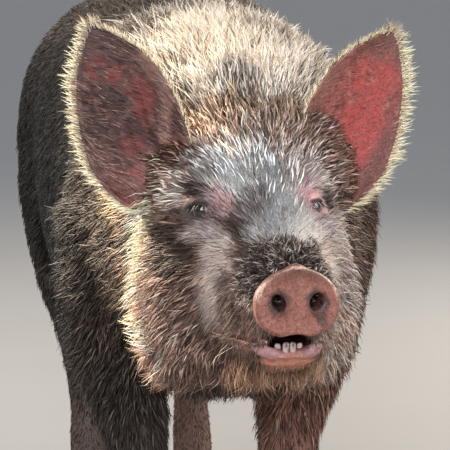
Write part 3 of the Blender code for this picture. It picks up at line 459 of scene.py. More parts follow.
def makeLeg(rows, foot, side):
    rings = []
    for height, out, back, halfWidth, halfDepth in rows:
        ring = []
        for i in range(ringSteps):
            x, y = oval(math.tau * i / ringSteps, halfWidth, halfDepth, 2.1)
            ring.append(Vector((side * (foot.x + out) + x, foot.y + back + y, height)))
        rings.append(ring)
    return loft("leg", rings)


def makeMass(middle, radii, side, frame):
    bm = bmesh.new()
    bmesh.ops.create_uvsphere(bm, u_segments=20, v_segments=14, radius=1.0)
    place = frame @ Matrix.Translation(mirrored(middle, side)) @ Matrix.Diagonal((*radii, 1.0))
    bmesh.ops.transform(bm, matrix=place, verts=bm.verts)
    return fromBmesh("mass", bm)


# All the meshes in one object, still overlapping.
def joined(objects, name):
    bm = bmesh.new()
    for obj in objects:
        bm.from_mesh(obj.data)
    remove(*objects)
    return fromBmesh(name, bm)


# Moves the points near a path along their normals, fading with the distance.
def sculpt(points, normals, path, reach, push):
    nearest = np.full(len(points), np.inf)
    path = np.array(path, float)
    if len(path) == 1:
        path = np.vstack([path, path + 1e-6])
    for a, b in zip(path, path[1:]):
        along = np.clip(((points - a) @ (b - a)) / max((b - a) @ (b - a), 1e-12), 0, 1)
        nearest = np.minimum(nearest, np.linalg.norm(points - a - along[:, None] * (b - a), axis=1))
    return points + normals * (push * np.exp(-((nearest / reach) ** 2)))[:, None]


# The whole pig without ears, snout disc, eyes, tail and hooves, as one smooth closed body.
def makeFlesh():
    pieces = [makeTrunk(), makeSkull()]
    for side in (1, -1):
        pieces.append(makeLeg(forelegRows, foreFoot, side))
        pieces.append(makeLeg(hindlegRows, hindFoot, side))
        for middle, radii in headMasses.values():
            pieces.append(makeMass(middle, radii, side, headMatrix()))
        for middle, radii in bodyMasses.values():
            sway = shoulderSway if middle[1] < 0 else 0
            pieces.append(makeMass(middle, radii, side, Matrix.Translation((sway, 0, 0))))
    flesh = joined(pieces, "flesh")
    skin = flesh.modifiers.new("skin", "REMESH")
    skin.mode = "VOXEL"
    skin.voxel_size = voxel
    applyModifiers(flesh)
    limbs = flesh.vertex_groups.new(name="limbs")
    rest = flesh.vertex_groups.new(name="rest")
    for v in flesh.data.vertices:
        (limbs if v.co.z < 0.30 else rest).add([v.index], 1.0, "REPLACE")
    for group, passes in (("rest", smoothPasses * 3), ("limbs", smoothPasses)):
        ease = flesh.modifiers.new("ease", "SMOOTH")
        ease.factor = 0.5
        ease.iterations = passes
        ease.vertex_group = group
    return applyModifiers(flesh)


# A closed body from a flat outline drawn out along one axis of a frame.
def prism(name, outline, low, high, axis, frame):
    rings = []
    for at in (low, high):
        ring = []
        for a, b in outline:
            p = {"X": (at, a, b), "Y": (a, at, b), "Z": (a, b, at)}[axis]
            ring.append(frame @ Vector(p))
        rings.append(ring)
    return loft(name, rings)


# Along the ear, outward across it and out of its hollow, as the columns of a frame.
def earFrame(side):
    at = headMatrix()
    along = (at.to_3x3() @ mirrored(earLine[side], side)).normalized()
    facing = at.to_3x3() @ mirrored(earFacing[side], side)
    facing = (facing - along * facing.dot(along)).normalized()
    across = along.cross(facing) * (-side)
    if across.x * side < 0:
        across = -across
    base = at @ mirrored(earBase[side], side)
    return base, along, across.normalized(), facing


# A point of the ear's sheet: share of its length from the lobe, -1 inner edge to 1 outer edge.
def earPoint(side, share, acrossShare):
    base, along, across, facing = earFrame(side)
    rows = [(r[0], r[1], r[2], r[3], r[4]) for r in earRows]
    run, inner, outer, depth = (curveValue(rows, share, c) for c in (1, 2, 3, 4))
    middle = (outer + inner) / 2
    half = (outer - inner) / 2
    b = middle + half * acrossShare
    bend = earBend * max(0.0, run) ** 2 / earLength
    c = -depth * (1 - abs(acrossShare) ** 2.2) + bend
    return base + along * run + across * b + facing * c


# Out of the eye, along the opening to its outer corner and up, with the eye's middle.
def eyeFrame(side):
    at = headMatrix()
    out = (at.to_3x3() @ mirrored(eyeOut, side)).normalized()
    up = at.to_3x3() @ Vector((0, 0.1, 1))
    up = (up - out * up.dot(out)).normalized()
    along = out.cross(up) * -side
    return at @ mirrored(eyeAt, side), out, along, up


# The outline of the eye's opening, with its corners at the ends.
def almond(steps, halfWidth, halfHeight):
    points = []
    for i in range(steps):
        angle = math.tau * i / steps
        x = math.cos(angle)
        z = math.sin(angle) * (1 - 0.35 * x * x)
        points.append((x * halfWidth, z * halfHeight))
    return points


# The rim of the snout disc: a shield with a small peak above and a notch below.
def discOutline(angle, grow=0.0):
    upper = math.sin(angle) > 0
    tall = discHalf.z * (0.93 if upper else 1.0) + grow
    x, z = oval(angle, discHalf.x + grow, tall, 1.85 if upper else 2.5)
    if upper:
        z += discPeak * math.exp(-((x / 0.007) ** 2))
    else:
        z += 0.0035 * math.exp(-((x / 0.006) ** 2))
    return x, z


def discMatrix():
    return headMatrix() @ Matrix.Translation(discAt) @ Matrix.Rotation(discTilt, 4, "X")


# The tail's middle line: out of the rump, down, and once round in a loose curl.
def tailPoint(share):
    start = Vector((0.0, tailRoot[0], tailRoot[1]))
    if share < 0.25:
        t = share / 0.25
        return start + Vector((0, 0.035 * t, -0.012 * t * t))
    t = (share - 0.25) / 0.75
    angle = math.tau * 1.15 * t
    radius = 0.030 * (1 - 0.25 * t)
    middle = start + Vector((0.040 * t + 0.006 * math.sin(angle), 0.043, -0.042 - 0.030 * t))
    return middle + Vector((0.0, math.sin(angle) * radius, math.cos(angle) * radius))




# Smooths the points of a mesh by the given weights, from 0 to 1.
def ease(mesh, weights, passes):
    points = readPoints(mesh)
    edges = np.empty(len(mesh.edges) * 2, np.int32)
    mesh.edges.foreach_get("vertices", edges)
    a, b = edges[0::2], edges[1::2]
    use = (weights[a] > 0) | (weights[b] > 0)
    a, b = a[use], b[use]
    count = np.maximum(np.bincount(a, minlength=len(points)) + np.bincount(b, minlength=len(points)), 1)
    for _ in range(passes):
        total = np.zeros_like(points)
        for axis in range(3):
            total[:, axis] = np.bincount(a, points[b, axis], len(points))
            total[:, axis] += np.bincount(b, points[a, axis], len(points))
        mean = total / count[:, None]
        points += (mean - points) * (0.5 * weights)[:, None]
    writePoints(mesh, points)


# Splits the faces of a mesh where the test says so, and eases the new points.
def refine(mesh, test, passes=2):
    bm = bmesh.new()
    bm.from_mesh(mesh)
    middles = np.array([f.calc_center_median() for f in bm.faces])
    chosen = test(middles)
    edges = {e for f, use in zip(bm.faces, chosen) if use for e in f.edges}
    bmesh.ops.subdivide_edges(bm, edges=list(edges), cuts=1, use_grid_fill=True)
    bm.to_mesh(mesh)
    bm.free()
    ease(mesh, test(readPoints(mesh)).astype(float), passes)


def boolean(obj, other, operation, solver="MANIFOLD"):
    step = obj.modifiers.new("cut", "BOOLEAN")
    step.operation = operation
    step.solver = solver
    step.object = other
    before = len(obj.data.polygons)
    kept = obj.data.copy()
    applyModifiers(obj)
    if solver == "MANIFOLD" and len(obj.data.polygons) < before * 0.5:
        obj.data = kept
        boolean(obj, other, operation, "EXACT")
    return obj


def treeOf(obj):
    bm = bmesh.new()
    bm.from_mesh(obj.data)
    made = BVHTree.FromBMesh(bm)
    bm.free()
    return made


# Joins another body to the skin and eases the crease between them over a reach.
def grow(skin, other, operation, reach, passes, sink=0.0012):
    before, added = treeOf(skin), treeOf(other)
    corners = readPoints(other.data)
    low, high = corners.min(axis=0) - reach, corners.max(axis=0) + reach
    boolean(skin, other, operation)
    points = readPoints(skin.data)
    near = np.flatnonzero(np.all((points > low) & (points < high), axis=1))
    seam = []
    for i in near:
        p = Vector(points[i])
        if before.find_nearest(p, sink)[0] is not None and added.find_nearest(p, sink)[0] is not None:
            seam.append(i)
    weights = np.zeros(len(points))
    if seam:
        tree = KDTree(len(seam))
        for k, i in enumerate(seam):
            tree.insert(Vector(points[i]), k)
        tree.balance()
        for i in near:
            gapTo = tree.find(Vector(points[i]))[2]
            weights[i] = max(0.0, 1 - gapTo / reach)
        ease(skin.data, np.sqrt(weights), passes)
    remove(other)


def linesOnto(mesh, tables):
    points, normals = readPoints(mesh), readNormals(mesh)
    for lines, at in tables:
        for path, reach, push in lines.values():
            onMiddle = all(p[0] == 0.0 for p in path)
            for side in (1,) if onMiddle else (1, -1):
                placed = np.array([tuple(at @ mirrored(p, side)) for p in path])
                room = np.all(
                    (points > placed.min(axis=0) - 3 * reach) & (points < placed.max(axis=0) + 3 * reach),
                    axis=1
                )
                points[room] = sculpt(points[room], normals[room], placed, reach, push)
    writePoints(mesh, points)


print("flesh")
skinValues = {"faceDepth": 0.0022, "bodyDepth": 0.0036, "earThick": 0.0044, "lidWidth": 0.0022}
headAt = headMatrix()
skin = makeFlesh()
skin.name = "skin"
refine(skin.data, lambda p: inFrame(p, headAt)[:, 1] < 0.115)
linesOnto(skin.data, ((headLines, headAt), (bodyLines, Matrix.Identity(4))))
refine(skin.data, lambda p: (inFrame(p, headAt)[:, 1] < 0.022) & (inFrame(p, headAt)[:, 2] > -0.185))

# Finer folds of the face, in the head's frame: path, reach, push along the normal.
foldLines = {
    "lid_fold": (
        ((0.0440, -0.0220, 0.0085), (0.0560, -0.0130, 0.0125), (0.0700, 0.0020, 0.0090)),
        0.0026, -0.0014,
    ),
    "brow_fold": (
        ((0.0400, -0.0230, 0.0160), (0.0560, -0.0130, 0.0200), (0.0730, 0.0040, 0.0160)),
        0.0040, -0.0012,
    ),
    "lower_fold": (
        ((0.0460, -0.0230, -0.0090), (0.0580, -0.0130, -0.0120), (0.0710, 0.0020, -0.0080)),
        0.0026, -0.0013,
    ),
    "cheek_fold": (
        ((0.0500, -0.0260, -0.0180), (0.0640, -0.0120, -0.0210), (0.0780, 0.0060, -0.0160)),
        0.0038, -0.0010,
    ),
    "corner_fold": (((0.0740, 0.0060, 0.0010), (0.0820, 0.0180, 0.0020)), 0.0030, -0.0012),
    "rim_wrinkle_a": (
        (
            (0.0420, -0.1330, -0.0640), (0.0320, -0.1390, -0.0420), (0.0120, -0.1430, -0.0330),
            (0.0000, -0.1440, -0.0310)
        ),
        0.0030, -0.0020
    ),
    "rim_wrinkle_b": (
        (
            (0.0430, -0.1230, -0.0600), (0.0320, -0.1290, -0.0370), (0.0120, -0.1320, -0.0280),
            (0.0000, -0.1330, -0.0260)
        ),
        0.0034, -0.0018
    ),
    "rim_wrinkle_c": (
        ((0.0430, -0.1110, -0.0560), (0.0300, -0.1160, -0.0320), (0.0100, -0.1190, -0.0230)),
        0.0040, -0.0013,
    ),
    "lip_side": (
        ((0.0380, -0.1380, -0.1160), (0.0530, -0.1050, -0.1165), (0.0600, -0.0750, -0.1150)),
        0.0030, 0.0014,
    ),
    "chin_fold": (
        ((0.0000, -0.1480, -0.1420), (0.0300, -0.1360, -0.1410), (0.0440, -0.1150, -0.1390)),
        0.0040, -0.0016,
    ),
    "jaw_fold": (
        ((0.0640, -0.0600, -0.1250), (0.0740, -0.0300, -0.1360), (0.0820, 0.0000, -0.1480)),
        0.0070, -0.0022,
    ),
    "neck_fold_a": (
        ((0.1060, 0.0980, 0.0100), (0.1140, 0.1000, -0.0700), (0.0860, 0.0980, -0.1600)),
        0.0090, -0.0030,
    ),
}
linesOnto(skin.data, ((foldLines, headAt),))
eyeSpots = [np.array(headAt @ mirrored(eyeAt, side)) for side in (1, -1)]
refine(skin.data, lambda p: np.minimum(*(np.linalg.norm(p - e, axis=1) for e in eyeSpots)) < 0.026, 1)
points, normals = readPoints(skin.data), readNormals(skin.data)
face = smoothStep(0.12, 0.02, inFrame(points, headAt)[:, 1])
depth = skinValues["bodyDepth"] + (skinValues["faceDepth"] - skinValues["bodyDepth"]) * face
writePoints(skin.data, points - normals * depth[:, None])
print("flesh triangles", sum(len(p.vertices) - 2 for p in skin.data.polygons))


# The front of the muzzle is cut flat behind the disc and rounded, then the disc is joined to it.
print("snout disc")
discSteps = 72
square = [(-0.2, -0.2), (0.2, -0.2), (0.2, 0.2), (-0.2, 0.2)]
grow(skin, prism("front", square, -0.3, 0.002, "Y", discMatrix()), "DIFFERENCE", 0.009, 10)
rings = []
discProfile = (
    (0.0070, 0.80), (0.0010, 0.900), (-0.0030, 0.960), (-0.0080, 0.990),
    (-0.0130, 1.000), (-0.0165, 0.995), (-0.0192, 0.975), (-0.0208, 0.940),
    (-0.0212, 0.895), (-0.0205, 0.830), (-0.0195, 0.740), (-0.0188, 0.620),
    (-0.0186, 0.480), (-0.0188, 0.320), (-0.0190, 0.150), (-0.0190, 0.050),
)
for y, share in discProfile:
    ring = []
    for i in range(discSteps):
        x, z = discOutline(math.tau * i / discSteps)
        ring.append(discMatrix() @ Vector((x * share, y, z * share)))
    rings.append(ring)
disc = loft("disc", rings)
finer = disc.modifiers.new("finer", "SUBSURF")
finer.levels = finer.render_levels = 1
applyModifiers(disc)
points = readPoints(disc.data)
local = inFrame(points, discMatrix())
for side in (1, -1):
    away = np.hypot((local[:, 0] - side * nostrilAt[0]) / 1.0, (local[:, 2] - nostrilAt[1]) / 1.15)
    local[:, 1] += -0.0016 * np.exp(-(((away - 0.0105) / 0.0032) ** 2)) * (local[:, 1] < -0.01)
local[:, 1] += 0.0014 * np.exp(-((local[:, 0] / 0.0045) ** 2)) * (local[:, 1] < -0.01)
local[:, 1] += 0.0012 * (cloud(local, 0.012, 2) - 0.5) * (local[:, 1] < -0.01)
forward = np.array(discMatrix())
writePoints(disc.data, local @ forward[:3, :3].T + forward[:3, 3])
grow(skin, disc, "UNION", 0.004, 3)
for side in (1, -1):
    rings = []
    for y, size, shift in (
        (-0.026, 1.45, 0.0), (-0.0205, 1.22, 0.0), (-0.0175, 1.0, 0.0003), (-0.0135, 0.90, 0.001),
        (-0.006, 0.78, 0.0022), (0.002, 0.62, 0.0036), (0.008, 0.30, 0.0050),
    ):
        ring = []
        for i in range(28):
            x, z = oval(math.tau * i / 28, nostril[0] * size, nostril[1] * size, 2.0)
            z += x * 0.25 * side + nostrilAt[1] + shift
            x += side * (nostrilAt[0] - shift)
            ring.append(discMatrix() @ Vector((x, y, z)))
        rings.append(ring)
    grow(skin, loft("nostril", rings), "DIFFERENCE", 0.0022, 2, 0.0006)


# Lids domed over the eyeballs, with a rolled edge, and the opening between them.
print("lids")
for side in (1, -1):
    middle, out, along, up = eyeFrame(side)
    bm = bmesh.new()
    bmesh.ops.create_icosphere(bm, subdivisions=5, radius=eyeRadius + lid * 0.85)
    bmesh.ops.translate(bm, vec=middle, verts=bm.verts)
    grow(skin, fromBmesh("dome", bm), "UNION", 0.007, 8)
    points, normals = readPoints(skin.data), readNormals(skin.data)
    outline = []
    for a, b in (tuple(v * 1.16 for v in p) for p in almond(26, *eyeOpening)):
        bulge = math.sqrt(max((eyeRadius + lid) ** 2 - a * a - b * b, 1e-6))
        outline.append(tuple(middle + out * bulge + along * a + up * b))
    outline = np.array(outline)
    room = np.linalg.norm(points - np.array(middle), axis=1) < 0.03
    closed = np.vstack([outline, outline[:1]])
    points[room] = sculpt(points[room], normals[room], closed, skinValues["lidWidth"], 0.0011)
    writePoints(skin.data, points)
    rings = []
    for reach, size in ((0.4, 0.62), (0.9, 0.98), (1.15, 1.08), (2.0, 1.9)):
        start = middle + out * (eyeRadius * reach)
        rings.append([start + (along * a + up * b) * size for a, b in almond(40, *eyeOpening)])
    grow(skin, loft("opening", rings), "DIFFERENCE", 0.0012, 1, 0.0005)
    bm = bmesh.new()
    bmesh.ops.create_icosphere(bm, subdivisions=4, radius=eyeRadius + 0.0002)
    bmesh.ops.translate(bm, vec=middle, verts=bm.verts)
    ball = fromBmesh("ball", bm)
    boolean(skin, ball, "DIFFERENCE")
    remove(ball)


# The mouth: a slit along the lips back to its corners and the open lens in front.
print("mouth")
(y0, z0), (y1, z1) = mouthFront, mouthCorner
slitOutline = [(y0, z0 - 0.0008), (y1, z1 - 0.0004), (y1, z1 + 0.0004), (y0, z0 + lipGap + 0.0006)]
grow(skin, prism("slit", slitOutline, -0.2, 0.2, "X", headAt), "DIFFERENCE", 0.0022, 2, 0.0006)
rings = []
back = discAt.y + mouthDeep
for y, size in (
    (mouthFront[0], 1.05), (discAt.y - 0.002, 1.0), (discAt.y + 0.012, 0.97),
    (back - mouthDeep * 0.4, 0.80), (back, 0.40)
):
    ring = []
    for i in range(40):
        angle = math.tau * i / 40
        x = math.cos(angle) * mouthHalf * size + mouthShift
        z = math.sin(angle) * (mouthRise if math.sin(angle) > 0 else mouthDip) * size
        ring.append(headAt @ Vector((x, y, mouthFront[1] + z)))
    rings.append(ring)
grow(skin, loft("mouth", rings), "DIFFERENCE", 0.0030, 3, 0.0006)


# Ears as cupped leaves with soft ridges inside, joined at the base.
print("ears")


def makeEar(side, longSteps, wideSteps, thick):
    bm = bmesh.new()
    grid = []
    facing = earFrame(side)[3]
    for i in range(longSteps + 1):
        share = (i / longSteps) ** 0.93
        row = []
        for j in range(wideSteps + 1):
            across = -1 + 2 * j / wideSteps
            p = earPoint(side, share, across)
            wave = 0.10 * math.sin(4 * share)
            ridge = sum(math.exp(-(((across - at - wave) / 0.07) ** 2)) for at in (-0.45, -0.05, 0.38))
            rim = math.exp(-(((abs(across) - 0.93) / 0.06) ** 2))
            p += facing * (0.0016 * ridge * math.sin(math.pi * min(share * 1.15, 1.0)) + 0.0012 * rim)
            row.append(bm.verts.new(p))
        grid.append(row)
    for i in range(longSteps):
        for j in range(wideSteps):
            bm.faces.new((grid[i][j], grid[i + 1][j], grid[i + 1][j + 1], grid[i][j + 1]))
    ear = fromBmesh("ear", bm)
    if ear.data.polygons[len(ear.data.polygons) // 2].normal.dot(facing) < 0:
        ear.data.flip_normals()
    solid = ear.modifiers.new("thick", "SOLIDIFY")
    solid.thickness = thick
    solid.offset = -1.0
    solid.use_even_offset = False
    return applyModifiers(ear)


earCopies = {}
for side in (1, -1):
    ear = makeEar(side, 56, 30, skinValues["earThick"])
    earCopies[side] = ear.data.copy()
    ear.modifiers.new("triangles", "TRIANGULATE")
    applyModifiers(ear)
    grow(skin, ear, "UNION", 0.010, 8)


# The tail: out of the rump and once round in a loose curl.
print("tail")
rings = []
last = None
for i in range(61):
    share = i / 60
    here = tailPoint(share)
    ahead = (tailPoint(min(1.0, share + 0.01)) - tailPoint(max(0.0, share - 0.01))).normalized()
    sideWay = Vector((1, 0, 0)) if last is None else last
    sideWay = (sideWay - ahead * sideWay.dot(ahead)).normalized()
    last = sideWay
    radius = 0.0118 * (1 - share) + 0.0036 * share
    rings.append(roundRing(here, sideWay * radius, ahead.cross(sideWay) * radius, 16))
tail = loft("tail", rings)
tailCopy = tail.data.copy()
grow(skin, tail, "UNION", 0.012, 10)
bm = bmesh.new()
bm.from_mesh(skin.data)
bmesh.ops.triangulate(bm, faces=[f for f in bm.faces if len(f.verts) > 4])
bm.to_mesh(skin.data)
bm.free()
skin.data.shade_smooth()
print("skin triangles", sum(len(p.vertices) - 2 for p in skin.data.polygons))


# Eyeballs a little raised at the cornea; the attribute says how far each point is from the gaze.
print("eyes")
eyeValues = {"pupil": 0.22, "bulge": 0.0004, "turnIn": 0.10}


def makeEyeball(side, name):
    middle, out, along, up = eyeFrame(side)
    gaze = (out + Vector((0, -1, 0)) * eyeValues["turnIn"]).normalized()
    upward = (up - gaze * up.dot(gaze)).normalized()
    sideWay = upward.cross(gaze)
    bm = bmesh.new()
    bmesh.ops.create_uvsphere(bm, u_segments=72, v_segments=56, radius=eyeRadius - 0.0001)
    turn = Matrix((sideWay, upward, gaze)).transposed().to_4x4()
    bmesh.ops.transform(bm, matrix=turn, verts=bm.verts)
    values = []
    for v in bm.verts:
        away = v.co.normalized()
        a, b, c = away.dot(sideWay), away.dot(upward), away.dot(gaze)
        flat = math.hypot(a, b) if c > 0 else 2.0
        v.co += away * (eyeValues["bulge"] * math.exp(-((flat / 0.42) ** 4)) if c > 0 else 0.0)
        values.append((flat, math.hypot(a * 0.72, b) if c > 0 else 2.0))
    bmesh.ops.translate(bm, vec=middle, verts=bm.verts)
    mesh = bpy.data.meshes.new(name)
    bm.to_mesh(mesh)
    bm.free()
    mesh.shade_smooth()
    for k, label in enumerate(("fromGaze", "fromPupil")):
        layer = mesh.attributes.new(label, "FLOAT", "POINT")
        layer.data.foreach_set("value", [v[k] for v in values])
    return newObject(name, mesh)


eyeballs = {side: makeEyeball(side, name) for side, name in ((1, "eyeballLeft"), (-1, "eyeballRight"))}


print("teeth")
teethValues = {
    "steps": 20, "lower": 0.0004, "heights": (-0.0010, 0.0004, 0.0002, -0.0012),
    "leans": (-0.10, 0.04, -0.05, 0.12)
}
bm = bmesh.new()
for k, x in enumerate((-1.5, -0.5, 0.5, 1.5)):
    rings = []
    for z, size in (
        (-0.50, 0.76), (-0.25, 0.88), (0.0, 0.97), (0.18, 1.00), (0.30, 0.95), (0.38, 0.83),
        (0.43, 0.64), (0.452, 0.42), (0.457, 0.18)
    ):
        ring = []
        for i in range(teethValues["steps"]):
            a, b = oval(math.tau * i / teethValues["steps"], tooth[0] * size, tooth[1] * size, 2.4)
            a += mouthShift + x * tooth[0] * 2.16 + teethValues["leans"][k] * z * 0.012
            b += toothAt[0] + 0.0016 * x * x - z * 0.002
            c = toothAt[1] + z * tooth[2] + teethValues["heights"][k] - teethValues["lower"]
            ring.append(headAt @ Vector((a, b, c)))
        rings.append(ring)
    one = loft("tooth", rings)
    bm.from_mesh(one.data)
    remove(one)
teeth = fromBmesh("teeth", bm)
teeth.data.shade_smooth()
local = inFrame(readPoints(teeth.data), headAt)
column = (local[:, 0] - mouthShift) / (tooth[0] * 2.16) + 2.0
across = (column - np.floor(column) - 0.5) * 2.16 * tooth[0]
top = local[:, 2] - (toothAt[1] + 0.45 * tooth[2] - teethValues["lower"])
core = smoothStep(1.25, 0.75, np.hypot(across / 0.0015, (top + 0.0024) / 0.0021))
core = core * (np.abs(column - 2.0) < 1.0)
layer = teeth.data.attributes.new("core", "FLOAT", "POINT")
layer.data.foreach_set("value", core.astype(np.float32))


print("hooves")
hoofValues = {"steps": 36, "groove": 0.00035}
clawPlaces = [
    (kind, foot, side, toe)
    for kind, foot in (("fore", foreFoot), ("hind", hindFoot)) for side in (1, -1) for toe in (1, -1)
]


def makeClaws():
    bm = bmesh.new()
    for kind, foot, side, toe in clawPlaces:
        rings = []
        heights = [0.0, 0.0, 0.0006, 0.003] + [0.006 + 0.0027 * k for k in range(12)]
        for k, z in enumerate(heights):
            shrink = (0.60, 0.93, 0.985, 1.0)[k] if k < 4 else 1.0
            halfW, front, rear = (curveValue(clawRows, z, c) for c in (1, 2, 3))
            ring = []
            for i in range(hoofValues["steps"]):
                a, b = oval(
                    math.tau * i / hoofValues["steps"], halfW * shrink,
                    (rear - front) / 2 * shrink, 2.4
                )
                taper = 1.0 - 0.30 * max(0.0, -b / ((rear - front) / 2)) ** 2
                ripple = 1 - hoofValues["groove"] / halfW * (0.5 + 0.5 * math.sin(z * 1500))
                x = side * foot.x + toe * (clawCleft / 2 + halfW) + a * taper * ripple
                y = foot.y + (front + rear) / 2 + b * ripple + clawShift[kind]
                ring.append(Vector((x, y, z)))
            rings.append(ring)
        one = loft("claw", rings)
        bm.from_mesh(one.data)
        remove(one)
    made = fromBmesh("hooves", bm)
    made.data.shade_smooth()
    made.data.set_sharp_from_angle(angle=math.radians(60))
    return made


def makeDewclaws():
    bm = bmesh.new()
    for kind, foot, side, toe in clawPlaces:
        top = Vector((side * foot.x + toe * 0.016, foot.y + dewclawBack[kind], 0.074))
        tip = top + Vector((toe * 0.003, 0.016, -0.028))
        axis = (tip - top).normalized()
        other = axis.cross(Vector((1, 0, 0))).normalized()
        rings = []
        for share, size in (
            (-0.25, 0.80), (0.0, 0.94), (0.2, 1.0), (0.45, 0.93), (0.65, 0.80), (0.82, 0.60),
            (0.92, 0.42), (1.0, 0.15)
        ):
            wide, deep = Vector((0.0075 * size, 0, 0)), other * (0.0085 * size)
            rings.append(roundRing(top.lerp(tip, share), wide, deep, 20))
        one = loft("dewclaw", rings)
        bm.from_mesh(one.data)
        remove(one)
    made = fromBmesh("dewclaws", bm)
    made.data.shade_smooth()
    return made


hooves = makeClaws()
dewclaws = makeDewclaws()
# Which part of the skin each point belongs to: 0 flesh, 1 and 2 the ears, 3 the tail, 4 the disc.
def partAt(points):
    part = np.zeros(len(points), int)
    copies = ((1, earCopies[1]), (2, earCopies[-1]), (3, tailCopy))
    for number, mesh in copies:
        bm = bmesh.new()
        bm.from_mesh(mesh)
        tree = BVHTree.FromBMesh(bm)
        bm.free()
        corners = readPoints(mesh)
        low, high = corners.min(axis=0) - 0.002, corners.max(axis=0) + 0.002
        for i in np.flatnonzero(np.all((points > low) & (points < high), axis=1)):
            if tree.find_nearest(Vector(points[i]), 0.0012)[0] is not None:
                part[i] = number
    local = inFrame(points, discMatrix())
    outline = np.hypot(local[:, 0] / (discHalf.x * 1.03), (local[:, 2] - 0.0005) / (discHalf.z * 1.05))
    part[(local[:, 1] < -0.001) & (outline < 1.02)] = 4
    return part


